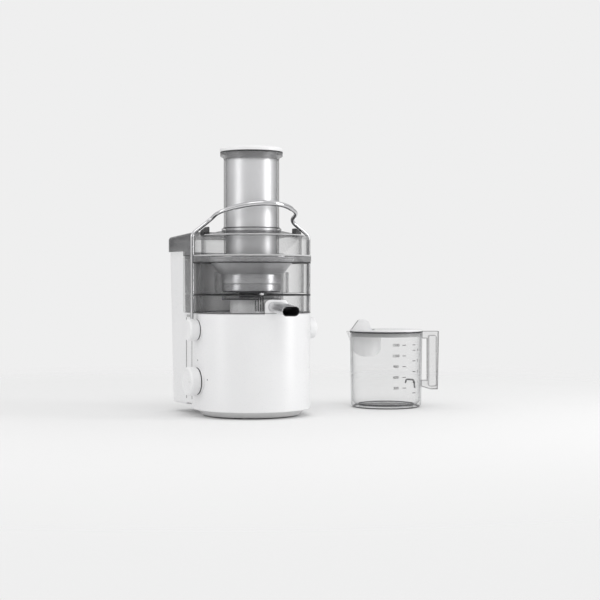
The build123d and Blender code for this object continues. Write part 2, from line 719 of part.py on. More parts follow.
with BuildPart() as bail_rod:
    with BuildLine() as bail_path:
        FilletPolyline(*half_path, *other_half, radius=half_rounds + half_rounds[::-1])
    with BuildSketch(Plane(bail_path.line @ 0, z_dir=bail_path.line % 0)):
        Circle(BAIL_ROD_RADIUS)
    sweep()
bail_rod.part.label = "bail_rod"
export_step(bail_rod.part, "parts/bail_rod.step")

grip_end = arch_point((SHOULDER_X + ARCH_HALF) / 2, 0.71)
with BuildPart() as bail_grip:
    with BuildLine() as grip_path:
        FilletPolyline(
            grip_end,
            arch_point(ARCH_HALF, 1),
            arch_point(-ARCH_HALF, 1),
            (-grip_end[0], grip_end[1], grip_end[2]),
            radius=ARCH_ROUND,
        )
    with BuildSketch(Plane(grip_path.line @ 0, z_dir=grip_path.line % 0)):
        Circle(4.3)
        Circle(BAIL_ROD_RADIUS + 0.05, mode=Mode.SUBTRACT)
    sweep()
bail_grip.part.label = "bail_grip"
export_step(bail_grip.part, "parts/bail_grip.step")


def pivot_cap(side, turn):
    """Adds one cap of the bail's hinge, bored for the rod from above and the pin from inside."""
    with Locations((side * CAP_INNER, 0, PIVOT_Z)):
        Cylinder(CAP_RADIUS, CAP_OUTER - CAP_INNER, align=UP, rotation=turn)
    outer_face = (pivot_caps.faces().sort_by(Axis.X))[-1 if side > 0 else 0]
    fillet(outer_face.edges(), radius=2.5)
    with Locations((side * BAIL_LEG_X, 0, 153.5)):
        Cylinder(BAIL_ROD_RADIUS, 20, align=UP, mode=Mode.SUBTRACT)
    with Locations((side * CAP_INNER, 0, PIVOT_Z)):
        Cylinder(PIVOT_PIN_RADIUS, 3.2, align=UP, rotation=turn, mode=Mode.SUBTRACT)


with BuildPart() as pivot_caps:
    pivot_cap(1, TO_RIGHT)
    pivot_cap(-1, TO_LEFT)
pivot_caps.part.label = "pivot_caps"
export_step(pivot_caps.part, "parts/pivot_caps.step")

with BuildPart() as pivot_pins:
    for turn, side in ((TO_RIGHT, 1), (TO_LEFT, -1)):
        with Locations((side * 88, 0, PIVOT_Z)):
            Cylinder(PIVOT_PIN_RADIUS, 17.4, align=UP, rotation=turn)
pivot_pins.part.label = "pivot_pins"
export_step(pivot_pins.part, "parts/pivot_pins.step")

with BuildPart() as pivot_circlips:
    for turn, side in ((TO_RIGHT, 1), (TO_LEFT, -1)):
        with Locations((side * 90.5, 0, PIVOT_Z)):
            Cylinder(8, 1.2, align=UP, rotation=turn)
            Cylinder(PIVOT_PIN_RADIUS, 1.2, align=UP, rotation=turn, mode=Mode.SUBTRACT)
            with Locations((0, 0, -8)):
                Box(4, 2.4, 8, align=UP, mode=Mode.SUBTRACT)
pivot_circlips.part.label = "pivot_circlips"
export_step(pivot_circlips.part, "parts/pivot_circlips.step")

# ================================================================ speed dial
with BuildPart() as speed_dial:
    with Locations((-DIAL_INNER, 0, DIAL_Z)):
        Cylinder(DIAL_RADIUS, DIAL_OUTER - DIAL_INNER, align=UP, rotation=TO_LEFT)
    fillet(speed_dial.faces().sort_by(Axis.X)[0].edges(), radius=2)
    # pointer groove towards the front
    with Locations((-DIAL_OUTER, -15, DIAL_Z)):
        Box(1.6, 12, 1.6, mode=Mode.SUBTRACT)
    with Locations((-DIAL_INNER, 0, DIAL_Z)):
        Cylinder(3.0, 9, align=UP, rotation=TO_LEFT, mode=Mode.SUBTRACT)
speed_dial.part.label = "speed_dial"
export_step(speed_dial.part, "parts/speed_dial.step")

with BuildPart() as dial_shaft:
    with Locations((-86, 0, DIAL_Z)):
        Cylinder(3.0, DIAL_INNER + 9 - 86, align=UP, rotation=TO_LEFT)
dial_shaft.part.label = "dial_shaft"
export_step(dial_shaft.part, "parts/dial_shaft.step")

# ================================================================ lid, feed tube, pusher
CHUTE_BOTTOM = 278.5
CHUTE_BACK = 151.0
GUIDE = (83.5, 85.5)


def lid_form(inset, rim, chute_bottom):
    """The lid's outer form, or its hollow when an inset is given."""
    with BuildPart() as form:
        with BuildSketch(Plane.XZ):
            with BuildLine():
                shoulder = (BODY_RADIUS - inset, LID_SHOULDER)
                crest = (BODY_RADIUS - LID_EDGE_ROUND, LID_SHOULDER + LID_EDGE_ROUND - inset)
                Line((0, rim), (BODY_RADIUS - inset, rim))
                Line((BODY_RADIUS - inset, rim), shoulder)
                RadiusArc(shoulder, crest, -(LID_EDGE_ROUND - inset))
                Line(crest, (50, LID_CROWN - inset))
                Line((50, LID_CROWN - inset), (0, LID_CROWN - inset))
                Line((0, LID_CROWN - inset), (0, rim))
            make_face()
        revolve(axis=Axis.Z)
        # chute cover over the pulp container
        with BuildSketch(Plane.YZ.offset(-(FLANK_HALF - inset))):
            with BuildLine():
                Polyline(
                    (14 + inset, rim),
                    (BACK - inset, rim),
                    (BACK - inset, chute_bottom),
                    (CHUTE_BACK - inset, chute_bottom),
                    (CHUTE_BACK - inset, 303.6 - inset),
                    (28, 310.6 - inset),
                    (14 + inset, 300),
                    close=True,
                )
            make_face()
        extrude(amount=2 * (FLANK_HALF - inset))
        corners = form.edges().filter_by(Axis.Z).group_by(Axis.Y)[-1]
        fillet(corners, radius=22 - inset)
    return form.part


LUG_X = (80.0, 92.0)


with BuildPart() as lid_lugs:
    for side in (-1, 1):
        lug = outline(
            Plane.XZ.offset(-7),
            (side * LUG_X[0], 303.5),
            (side * LUG_X[1], 303.5),
            (side * LUG_X[1], 312),
            (side * (LUG_X[0] + 3), 318.5),
            (side * LUG_X[0], 318.5),
        )
        extrude(lug, amount=14)
lid_lugs.part.label = "lid_lugs"
export_step(lid_lugs.part, "parts/lid_lugs.step")

with BuildPart() as lid:
    add(lid_form(0, LID_RIM, CHUTE_BOTTOM))
    add(lid_form(CLEAR_WALL, LID_RIM - 1, CHUTE_BOTTOM - 1), mode=Mode.SUBTRACT)
    # guide ring round the basket's rim, open at the back for the pulp
    with BuildSketch(Plane.XY.offset(260)):
        ring(*GUIDE)
    extrude(amount=43.4)
    with Locations((0, 50, 271)):
        Box(116, 100, 25, align=UP, mode=Mode.SUBTRACT)
    with Locations((0, 0, 250)):
        Cylinder(TUBE_RADIUS, 80, align=UP, mode=Mode.SUBTRACT)
    add(lid_lugs.part, mode=Mode.SUBTRACT)
lid.part.label = "lid"
export_step(lid.part, "parts/lid.step")

with BuildPart() as lid_seal:
    with BuildSketch(Plane.XY.offset(BOWL_RIM + 0.3)):
        body_plan()
    extrude(amount=LID_RIM - BOWL_RIM - 0.3)
    with BuildSketch(Plane.XY.offset(BOWL_RIM)):
        body_plan(CLEAR_WALL)
    extrude(amount=5, mode=Mode.SUBTRACT)
lid_seal.part.label = "lid_seal"
export_step(lid_seal.part, "parts/lid_seal.step")

with BuildPart() as feed_tube:
    turned(
        (TUBE_RADIUS - TUBE_WALL, TUBE_BOTTOM),
        (TUBE_RADIUS, TUBE_BOTTOM),
        (TUBE_RADIUS, LID_CROWN + 0.7),
        (51, LID_CROWN + 0.7),
        (50, LID_CROWN + 3.5),
        (TUBE_RADIUS, LID_CROWN + 5),
        (TUBE_RADIUS, TUBE_TOP - 11),
        (53, TUBE_TOP - 7),
        (53, TUBE_TOP),
        (TUBE_RADIUS - TUBE_WALL, TUBE_TOP),
    )
feed_tube.part.label = "feed_tube"
export_step(feed_tube.part, "parts/feed_tube.step")

PUSHER_RADIUS = TUBE_RADIUS - TUBE_WALL - 0.6
PUSHER_BOTTOM = 252.0

with BuildPart() as pusher_barrel:
    turned(
        (0, PUSHER_BOTTOM),
        (PUSHER_RADIUS - 2, PUSHER_BOTTOM),
        (PUSHER_RADIUS, PUSHER_BOTTOM + 2),
        (PUSHER_RADIUS, TUBE_TOP + 0.4),
        (PUSHER_RADIUS - 2.4, TUBE_TOP + 0.4),
        (PUSHER_RADIUS - 2.4, PUSHER_BOTTOM + 3),
        (0, PUSHER_BOTTOM + 3),
    )
pusher_barrel.part.label = "pusher_barrel"
export_step(pusher_barrel.part, "parts/pusher_barrel.step")

with BuildPart() as pusher_cap:
    turned(
        (0, TUBE_TOP - 8),
        (PUSHER_RADIUS - 2.5, TUBE_TOP - 8),
        (PUSHER_RADIUS - 2.5, TUBE_TOP + 0.4),
        (53.5, TUBE_TOP + 0.4),
        (53.5, PUSHER_CAP_TOP - 2.5),
        (51, PUSHER_CAP_TOP),
        (0, PUSHER_CAP_TOP),
    )
    with Locations((0, 0, PUSHER_CAP_TOP - 6)):
        Cylinder(38, 6, align=UP, mode=Mode.SUBTRACT)
    with Locations((0, 0, PUSHER_CAP_TOP - 6)):
        Box(70, 9, 6, align=UP)
pusher_cap.part.label = "pusher_cap"
export_step(pusher_cap.part, "parts/pusher_cap.step")

# ================================================================ pulp container
def container_plan(wall, taper):
    """Adds the container's plan before its front is hollowed to fit round the body."""
    width = 2 * (CONTAINER_HALF - wall - taper)
    front = CONTAINER_FRONT + wall
    back = CONTAINER_BACK - wall - taper
    with Locations((0, front)):
        Rectangle(width, 30, align=(Align.CENTER, Align.MIN))
    with Locations((0, back)):
        RectangleRounded(width, back - front, 22 - wall, align=(Align.CENTER, Align.MAX))


with BuildPart() as container_hollow:
    with BuildSketch(Plane.XY.offset(CONTAINER_BOTTOM + WALL)):
        container_plan(WALL, 4)
    with BuildSketch(Plane.XY.offset(CONTAINER_TOP)):
        container_plan(WALL, 0)
    loft()
    Cylinder(BODY_RADIUS + 0.6 + WALL, 300, align=UP, mode=Mode.SUBTRACT)

with BuildPart() as pulp_container:
    with BuildSketch(Plane.XY.offset(CONTAINER_BOTTOM)):
        container_plan(0, 4)
    with BuildSketch(Plane.XY.offset(CONTAINER_TOP)):
        container_plan(0, 0)
    loft()
    Cylinder(BODY_RADIUS + 0.6, 300, align=UP, mode=Mode.SUBTRACT)
    fillet(pulp_container.faces().sort_by(Axis.Z)[0].edges(), radius=4)
    add(container_hollow.part, mode=Mode.SUBTRACT)
pulp_container.part.label = "pulp_container"
export_step(pulp_container.part, "parts/pulp_container.step")

# ================================================================ jug
TURN_X = cos(radians(JUG_TURN))
TURN_Y = sin(radians(JUG_TURN))
JUG_FLOOR = Plane(origin=(JUG_X, JUG_Y, 0), x_dir=(TURN_X, TURN_Y, 0), z_dir=(0, 0, 1))
JUG_SIDE = Plane(origin=(JUG_X, JUG_Y, 0), x_dir=(TURN_X, TURN_Y, 0), z_dir=(TURN_Y, -TURN_X, 0))
JUG_AXIS = Axis((JUG_X, JUG_Y, 0), (0, 0, 1))
JUG_FOOT = 63.5
LIP_AT = -61.0  # towards the pouring lip, in the jug's own frame
LIP_RADIUS = 11.0


def jug_turned(*points, mode=Mode.ADD):
    """Adds or cuts the solid turned about the jug's axis from a (radius, height) outline."""
    revolve(outline(JUG_SIDE, *points), axis=JUG_AXIS, mode=mode)


with BuildPart() as jug_form:
    jug_turned((0, 0), (JUG_FOOT, 0), (JUG_RADIUS, JUG_HEIGHT), (0, JUG_HEIGHT))
    fillet(jug_form.edges().group_by(Axis.Z)[0], radius=7)

with BuildPart() as jug:
    add(jug_form.part)
    with BuildSketch(JUG_FLOOR.offset(112)):
        with Locations((LIP_AT, 0)):
            Circle(2)
    with BuildSketch(JUG_FLOOR.offset(JUG_HEIGHT)):
        with Locations((LIP_AT, 0)):
            Circle(LIP_RADIUS)
    loft()
    jug_turned(
        (0, 4.5),
        (JUG_FOOT - JUG_WALL - 6, 4.5),
        (JUG_FOOT - JUG_WALL, 11),
        (JUG_RADIUS - JUG_WALL, JUG_HEIGHT),
        (0, JUG_HEIGHT),
        mode=Mode.SUBTRACT,
    )
    with BuildSketch(JUG_FLOOR.offset(112)):
        with Locations((LIP_AT, 0)):
            Circle(0.4)
    with BuildSketch(JUG_FLOOR.offset(JUG_HEIGHT)):
        with Locations((LIP_AT, 0)):
            Circle(LIP_RADIUS - 2)
    loft(mode=Mode.SUBTRACT)
    # hollow under the base leaves a standing ring
    jug_turned((0, 0), (50, 0), (48, 2), (0, 2), mode=Mode.SUBTRACT)
jug.part.label = "jug"
export_step(jug.part, "parts/jug.step")

HANDLE_X = (74.0, 95.0)
HANDLE_HALF = 10.0
HANDLE_Z = (32.0, 137.0)

with BuildPart() as jug_handle:
    with BuildSketch(JUG_SIDE.offset(-HANDLE_HALF)):
        with BuildLine():
            Polyline(
                (60, 124),
                (HANDLE_X[0], 124),
                (HANDLE_X[0], 48),
                (60, 48),
                (60, 38),
                (HANDLE_X[0] + 6, HANDLE_Z[0]),
                (HANDLE_X[1] - 2, HANDLE_Z[0]),
                (HANDLE_X[1], HANDLE_Z[1]),
                (60, HANDLE_Z[1]),
                close=True,
            )
        make_face()
    extrude(amount=2 * HANDLE_HALF)
    with BuildSketch(JUG_SIDE.offset(-HANDLE_HALF)):
        with Locations(((HANDLE_X[0] + HANDLE_X[1] - 1) / 2, 83)):
            RectangleRounded(14, 92, 3)
    extrude(amount=2 * HANDLE_HALF - 2.5, mode=Mode.SUBTRACT)
    add(jug_form.part, mode=Mode.SUBTRACT)
jug_handle.part.label = "jug_handle"
export_step(jug_handle.part, "parts/jug_handle.step")

JUG_LID_Z = (JUG_HEIGHT + 0.3, JUG_HEIGHT + 2.7)
SEPARATOR_X = -35.5
SEPARATOR_RADIUS = 25.8

with BuildPart() as jug_lid:
    with BuildSketch(JUG_FLOOR.offset(JUG_LID_Z[0])):
        Circle(JUG_RADIUS)
    extrude(amount=JUG_LID_Z[1] - JUG_LID_Z[0])
    with BuildSketch(JUG_FLOOR.offset(JUG_LID_Z[0] - 8)):
        Circle(62.7)
        Circle(61.4, mode=Mode.SUBTRACT)
    extrude(amount=8.5)
    # hood over the pouring lip, open towards the handle
    with BuildSketch(JUG_SIDE.offset(-19)) as hood_side:
        with BuildLine():
            Polyline(
                (-64, JUG_LID_Z[0] + 1),
                (-26, JUG_LID_Z[0] + 1),
                (-34, JUG_LID_Z[1] + 18),
                (-50, JUG_LID_Z[1] + 18),
                close=True,
            )
        make_face()
        fillet(hood_side.vertices().group_by(Axis.Y)[-1], radius=7)
    extrude(amount=38)
    with BuildSketch(JUG_SIDE.offset(-16.8)) as hood_hollow:
        with BuildLine():
            Polyline(
                (-61.2, JUG_LID_Z[0]),
                (-20, JUG_LID_Z[0]),
                (-20, JUG_LID_Z[1] + 15.8),
                (-49.2, JUG_LID_Z[1] + 15.8),
                close=True,
            )
        make_face()
    extrude(amount=33.6, mode=Mode.SUBTRACT)
jug_lid.part.label = "jug_lid"
export_step(jug_lid.part, "parts/jug_lid.step")

with BuildPart() as froth_separator:
    with BuildSketch(JUG_FLOOR.offset(92)):
        with Locations((SEPARATOR_X, 0)):
            Circle(SEPARATOR_RADIUS)
            Circle(SEPARATOR_RADIUS - 1.8, mode=Mode.SUBTRACT)
    extrude(amount=JUG_LID_Z[0] - 92)
    with BuildSketch(JUG_SIDE.offset(-40)) as separator_side:
        with Locations((SEPARATOR_X, 92)):
            Rectangle(60, 60, align=(Align.CENTER, Align.MIN))
        fillet(separator_side.vertices().group_by(Axis.Y)[0], radius=26)
    extrude(amount=80, mode=Mode.INTERSECT)
froth_separator.part.label = "froth_separator"
export_step(froth_separator.part, "parts/froth_separator.step")
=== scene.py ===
# %% [markdown]
# # A centrifugal juicer and its juice jug
# The juicer is a stack of shells: a white motor housing, a smoke-grey bowl and lid that let the
# steel basket show, a wide feed tube with its pusher, and a steel bail that locks the stack.
# The CAD frame already holds every part at its true size, so this script gives it finishes,
# adds the fine pieces that a CAD model leaves out, and lights it like a small studio.

# %% Load the frame
import json
from math import atan2, cos, degrees, pi, radians, sin, sqrt, tan, tau

import bmesh
import bpy
from mathutils import Matrix, Vector


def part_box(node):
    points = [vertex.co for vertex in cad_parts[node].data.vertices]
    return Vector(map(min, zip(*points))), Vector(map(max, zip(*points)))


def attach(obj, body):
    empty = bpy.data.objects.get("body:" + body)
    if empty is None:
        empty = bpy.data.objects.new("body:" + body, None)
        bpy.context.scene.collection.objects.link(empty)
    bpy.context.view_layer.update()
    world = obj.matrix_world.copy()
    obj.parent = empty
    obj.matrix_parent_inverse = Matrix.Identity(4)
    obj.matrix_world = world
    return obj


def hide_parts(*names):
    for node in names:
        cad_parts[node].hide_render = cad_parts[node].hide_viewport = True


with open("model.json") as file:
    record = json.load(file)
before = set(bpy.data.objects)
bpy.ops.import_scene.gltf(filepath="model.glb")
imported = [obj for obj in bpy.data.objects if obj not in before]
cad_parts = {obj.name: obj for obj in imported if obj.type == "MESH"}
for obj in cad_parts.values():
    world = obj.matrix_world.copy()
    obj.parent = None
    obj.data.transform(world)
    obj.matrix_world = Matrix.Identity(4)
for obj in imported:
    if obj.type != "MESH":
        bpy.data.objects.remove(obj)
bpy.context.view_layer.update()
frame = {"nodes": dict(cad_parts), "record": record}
MM = 0.001
scene = bpy.context.scene

# %% [markdown]
# ## The camera
# The juicer is seen level, from a little left of its front, so its dial shows at one side and its
# spout points past the camera. A long lens from over two metres keeps the upright edges parallel.
# The camera stands on a line through a point beside the juicer, because the jug needs room too.

# %% Place the camera
VIEW_TURN = radians(27)
VIEW_DISTANCE = 2.357
EYE_ASIDE, EYE_HEIGHT = 0.0825, 0.2296
forward = Vector((sin(VIEW_TURN), cos(VIEW_TURN), 0))
rightward = Vector((cos(VIEW_TURN), -sin(VIEW_TURN), 0))
eye = rightward * EYE_ASIDE - forward * VIEW_DISTANCE + Vector((0, 0, EYE_HEIGHT))

camera_data = bpy.data.cameras.new("studio_camera")
camera_data.lens = 83.1
camera_data.sensor_width = 36
camera = bpy.data.objects.new("studio_camera", camera_data)
scene.collection.objects.link(camera)
camera.location = eye
TILT_DOWN = radians(0.83)
gaze = forward * cos(TILT_DOWN) - Vector((0, 0, sin(TILT_DOWN)))
camera.rotation_mode = "QUATERNION"
camera.rotation_quaternion = gaze.to_track_quat("-Z", "Y")
scene.camera = camera
print("camera at", [round(v, 3) for v in eye], "turned", round(degrees(VIEW_TURN)), "degrees")

# %% [markdown]
# ## The studio
# White goods on a pale ground need soft light from everywhere, with two tall bright panels that
# draw the long highlights on steel and clear plastic, and one overhead. The sky gives the soft
# part. It is plain where the camera looks at it, and shaded from low to high where things
# reflect it, so that metal has something to show.

# %% Floor
FLOOR_RADIUS = 2.2
floor_mesh = bmesh.new()
bmesh.ops.create_circle(floor_mesh, cap_ends=True, radius=FLOOR_RADIUS, segments=96)
floor_data = bpy.data.meshes.new("studio_floor")
floor_mesh.to_mesh(floor_data)
floor_mesh.free()
floor = bpy.data.objects.new("studio_floor", floor_data)
scene.collection.objects.link(floor)

floor_finish = bpy.data.materials.new("pale_floor")
floor_finish.use_nodes = True
floor_tree = floor_finish.node_tree
floor_shader = floor_tree.nodes["Principled BSDF"]
floor_shader.inputs["Base Color"].default_value = (0.82, 0.82, 0.82, 1)
floor_shader.inputs["Roughness"].default_value = 0.9
floor_shader.inputs["Specular IOR Level"].default_value = 0.0
floor_place = floor_tree.nodes.new("ShaderNodeTexCoord")
floor_reach = floor_tree.nodes.new("ShaderNodeVectorMath")
floor_reach.operation = "LENGTH"
floor_fade = floor_tree.nodes.new("ShaderNodeMapRange")
floor_fade.interpolation_type = "SMOOTHSTEP"
floor_fade.inputs["From Min"].default_value = 0.35
floor_fade.inputs["From Max"].default_value = 1.5
floor_fade.inputs["To Min"].default_value = 1.0
floor_fade.inputs["To Max"].default_value = 0.0
floor_tree.links.new(floor_place.outputs["Object"], floor_reach.inputs[0])
floor_tree.links.new(floor_reach.outputs["Value"], floor_fade.inputs["Value"])
floor_tree.links.new(floor_fade.outputs["Result"], floor_shader.inputs["Alpha"])
floor.data.materials.append(floor_finish)
print("floor laid")

# %% Sky
BACKDROP = 0.863
world = bpy.data.worlds.new("studio_sky")
scene.world = world
world.use_nodes = True
sky = world.node_tree
sky.nodes.clear()
sky_out = sky.nodes.new("ShaderNodeOutputWorld")
seen = sky.nodes.new("ShaderNodeBackground")
seen.inputs["Color"].default_value = (BACKDROP, BACKDROP, BACKDROP, 1)
lighting = sky.nodes.new("ShaderNodeBackground")
direction = sky.nodes.new("ShaderNodeTexCoord")
split = sky.nodes.new("ShaderNodeSeparateXYZ")
shade = sky.nodes.new("ShaderNodeValToRGB")
shade.color_ramp.elements[0].position = 0.40
shade.color_ramp.elements[1].position = 0.95
shade.color_ramp.elements[0].color = (0.95, 0.95, 0.95, 1)
shade.color_ramp.elements[1].color = (1.0, 1.0, 1.0, 1)
for place_at, grey in ((0.46, 0.80), (0.50, 0.30), (0.55, 0.42), (0.66, 0.88)):
    shade.color_ramp.elements.new(place_at).color = (grey, grey, grey, 1)
rise = sky.nodes.new("ShaderNodeMapRange")
rise.inputs["From Min"].default_value = -1
path = sky.nodes.new("ShaderNodeLightPath")
choose = sky.nodes.new("ShaderNodeMixShader")
sky.links.new(direction.outputs["Generated"], split.inputs[0])
sky.links.new(split.outputs["Z"], rise.inputs["Value"])
sky.links.new(rise.outputs["Result"], shade.inputs["Fac"])
sky.links.new(shade.outputs["Color"], lighting.inputs["Color"])
sky.links.new(path.outputs["Is Camera Ray"], choose.inputs["Fac"])
sky.links.new(lighting.outputs[0], choose.inputs[1])
sky.links.new(seen.outputs[0], choose.inputs[2])
sky.links.new(choose.outputs[0], sky_out.inputs["Surface"])
lighting.inputs["Strength"].default_value = 0.95
scene.view_settings.view_transform = "Standard"
scene.cycles.transparent_max_bounces = 32
print("sky made")


# %% Light panels
PANEL_AIM = Vector((0, 0, 0.22))


def light_panel(name, turn, distance, height, size, power):
    """A rectangular panel, turned clockwise from the camera's side, that faces the juicer."""
    panel = bpy.data.lights.new(name, "AREA")
    panel.shape = "RECTANGLE"
    panel.size, panel.size_y = size
    panel.energy = power
    lamp = bpy.data.objects.new(name, panel)
    scene.collection.objects.link(lamp)
    toward = Matrix.Rotation(radians(turn), 3, "Z") @ -forward
    lamp.location = toward * distance + Vector((0, 0, height))
    lamp.rotation_mode = "QUATERNION"
    lamp.rotation_quaternion = (PANEL_AIM - lamp.location).to_track_quat("-Z", "Y")


light_panel("left_panel", -58, 1.9, 0.55, (0.7, 1.5), 6)
light_panel("right_panel", 80, 1.9, 0.55, (0.6, 1.5), 13)
light_panel("top_panel", 20, 1.2, 2.2, (1.4, 1.0), 7)

# %% [markdown]
# ## Finishes
# One recipe serves every solid finish: a fine noise roughens and dents the surface a little, as
# moulding and rolling do, and a broad noise shifts its colour by a few percent. Stretching the
# noise along one axis turns the same recipe into brushed or turned metal.


# %% The common recipe
def new_finish(name):
    """An empty material with an output and a Principled shader. Returns it with its tree and shader."""
    finish = bpy.data.materials.new(name)
    finish.use_nodes = True
    tree = finish.node_tree
    return finish, tree, tree.nodes["Principled BSDF"]


def noise(tree, scale, stretch=(1, 1, 1)):
    """A noise on the piece's own coordinates."""
    place = tree.nodes.new("ShaderNodeTexCoord")
    mapping = tree.nodes.new("ShaderNodeMapping")
    mapping.inputs["Scale"].default_value = stretch
    cloud = tree.nodes.new("ShaderNodeTexNoise")
    cloud.inputs["Scale"].default_value = scale
    cloud.inputs["Detail"].default_value = 3.0
    tree.links.new(place.outputs["Object"], mapping.inputs["Vector"])
    tree.links.new(mapping.outputs["Vector"], cloud.inputs["Vector"])
    return cloud.outputs["Fac"]


def spread(tree, value, low, high, from_low=0.3, from_high=0.7):
    """The value mapped to run from low to high."""
    span = tree.nodes.new("ShaderNodeMapRange")
    span.inputs["From Min"].default_value = from_low
    span.inputs["From Max"].default_value = from_high
    span.inputs["To Min"].default_value = low
    span.inputs["To Max"].default_value = high
    tree.links.new(value, span.inputs["Value"])
    return span.outputs["Result"]


def dent(tree, shader, height, strength, depth):
    """Bumps the surface by the height value; depth is in metres."""
    bump = tree.nodes.new("ShaderNodeBump")
    bump.inputs["Strength"].default_value = strength
    bump.inputs["Distance"].default_value = depth
    tree.links.new(height, bump.inputs["Height"])
    tree.links.new(bump.outputs["Normal"], shader.inputs["Normal"])


def two_tone(tree, value, dark, light):
    """A colour between dark and light by the value."""
    blend = tree.nodes.new("ShaderNodeMix")
    blend.data_type = "RGBA"
    blend.inputs["A"].default_value = (*dark, 1)
    blend.inputs["B"].default_value = (*light, 1)
    tree.links.new(value, blend.inputs["Factor"])
    return blend.outputs["Result"]


def solid_finish(name, colour, roughness, metallic=0.0, grain=700, stretch=(1, 1, 1),
                 depth=0.00004, mottle=0.02, rough_spread=0.04):
    """The common recipe for a solid plastic, rubber or metal."""
    finish, tree, shader = new_finish(name)
    fine = noise(tree, grain, stretch)
    broad = spread(tree, noise(tree, 18, stretch), 0, 1)
    dark = [c * (1 - mottle) for c in colour]
    light = [min(1, c * (1 + mottle)) for c in colour]
    tree.links.new(two_tone(tree, broad, dark, light), shader.inputs["Base Color"])
    rough = spread(tree, fine, roughness - rough_spread, roughness + rough_spread)
    tree.links.new(rough, shader.inputs["Roughness"])
    dent(tree, shader, fine, 0.5, depth)
    shader.inputs["Metallic"].default_value = metallic
    return finish


finishes = {
    "white_gloss": solid_finish("white_gloss", (0.83, 0.83, 0.835), 0.30, depth=0.00002,
                                mottle=0.008),
    "white_matte": solid_finish("white_matte", (0.72, 0.72, 0.72), 0.5, mottle=0.012),
    "dark_grey": solid_finish("dark_grey", (0.05, 0.05, 0.055), 0.3),
    "black_plastic": solid_finish("black_plastic", (0.02, 0.02, 0.02), 0.45),
    "polished_steel": solid_finish("polished_steel", (0.62, 0.62, 0.63), 0.10, 1.0, grain=500,
                                   depth=0.000006, rough_spread=0.03),
    "satin_steel": solid_finish("satin_steel", (0.80, 0.80, 0.81), 0.30, 1.0, grain=60,
                                stretch=(1, 1, 30), depth=0.00002),
    "mesh_steel": solid_finish("mesh_steel", (0.74, 0.74, 0.75), 0.45, 1.0, grain=400),
    "silver_plastic": solid_finish("silver_plastic", (0.84, 0.84, 0.85), 0.42, 0.7, grain=160,
                                   depth=0.000004, rough_spread=0.02),
    "rubber": solid_finish("rubber", (0.03, 0.03, 0.03), 0.75, grain=1200, depth=0.00006),
    "seal_rubber": solid_finish("seal_rubber", (0.05, 0.05, 0.052), 0.5),
    "cast_alloy": solid_finish("cast_alloy", (0.55, 0.56, 0.57), 0.5, 1.0, grain=900,
                               depth=0.0001),
    "lamination": solid_finish("lamination", (0.09, 0.09, 0.10), 0.45, 0.6, grain=90,
                               stretch=(1, 1, 20), depth=0.00006),
    "copper": solid_finish("copper", (0.62, 0.27, 0.10), 0.32, 1.0, grain=90,
                           stretch=(1, 1, 16), depth=0.0001),
    "brass": solid_finish("brass", (0.66, 0.48, 0.2), 0.35, 1.0),
    "graphite": solid_finish("graphite", (0.03, 0.03, 0.033), 0.6),
    "board": solid_finish("board", (0.02, 0.10, 0.035), 0.4),
    "screw_steel": solid_finish("screw_steel", (0.5, 0.5, 0.5), 0.3, 1.0),
    "print_grey": solid_finish("print_grey", (0.07, 0.07, 0.07), 0.6),
    # A darker copy of satin steel for the basket cup, painting its dark reflections.
    "cup_steel_painted_dark": solid_finish("cup_steel_painted_dark", (0.48, 0.48, 0.49), 0.30, 1.0, grain=60,
                              stretch=(1, 1, 30), depth=0.00001),
    # A grey for the jug lid's gasket, also used as painted shade inside the hood and on a flank plate.
    "gasket_and_shade_grey": solid_finish("gasket_and_shade_grey", (0.42, 0.42, 0.42), 0.5),
    # A dark grey for the flank ribs, painting the shade at the edges of the strip's recess.
    "recess_shade_grey": solid_finish("recess_shade_grey", (0.30, 0.30, 0.30), 0.6),
    # A brighter copy of the white, painting light on the froth separator under the jug's lid.
    "white_painted_bright": solid_finish("white_painted_bright", (0.94, 0.94, 0.94), 0.35, mottle=0.008),
}
print("solid finishes:", len(finishes))


# %% [markdown]
# ## Clear plastic
# Clear moulded walls look faint where they face you and dark at their edges, where you look
# through more of them. Real refraction would also bend what stands behind, but on thin walls that
# hardly shows, so the surface is partly see-through by a facing ratio instead. It renders clean
# and travels well to other programs.


# %% Smoke-grey and colourless
def clear_finish(name, colour, roughness, face_on, edge_on, steepness):
    """A see-through plastic, faint where faced and denser at its edges; steepness narrows the edge."""
    finish, tree, shader = new_finish(name)
    fine = noise(tree, 300)
    tree.links.new(spread(tree, fine, roughness - 0.02, roughness + 0.03),
                   shader.inputs["Roughness"])
    dent(tree, shader, noise(tree, 60), 0.3, 0.00004)
    cloudy = two_tone(tree, spread(tree, noise(tree, 12), 0, 1), [c * 0.94 for c in colour],
                      colour)
    tree.links.new(cloudy, shader.inputs["Base Color"])
    edge = tree.nodes.new("ShaderNodeLayerWeight")
    edge.inputs["Blend"].default_value = 0.5
    steep = tree.nodes.new("ShaderNodeMath")
    steep.operation = "POWER"
    steep.inputs[1].default_value = steepness
    tree.links.new(edge.outputs["Facing"], steep.inputs[0])
    density = spread(tree, steep.outputs["Value"], face_on, edge_on, 0.0, 1.0)
    tree.links.new(density, shader.inputs["Alpha"])
    return finish


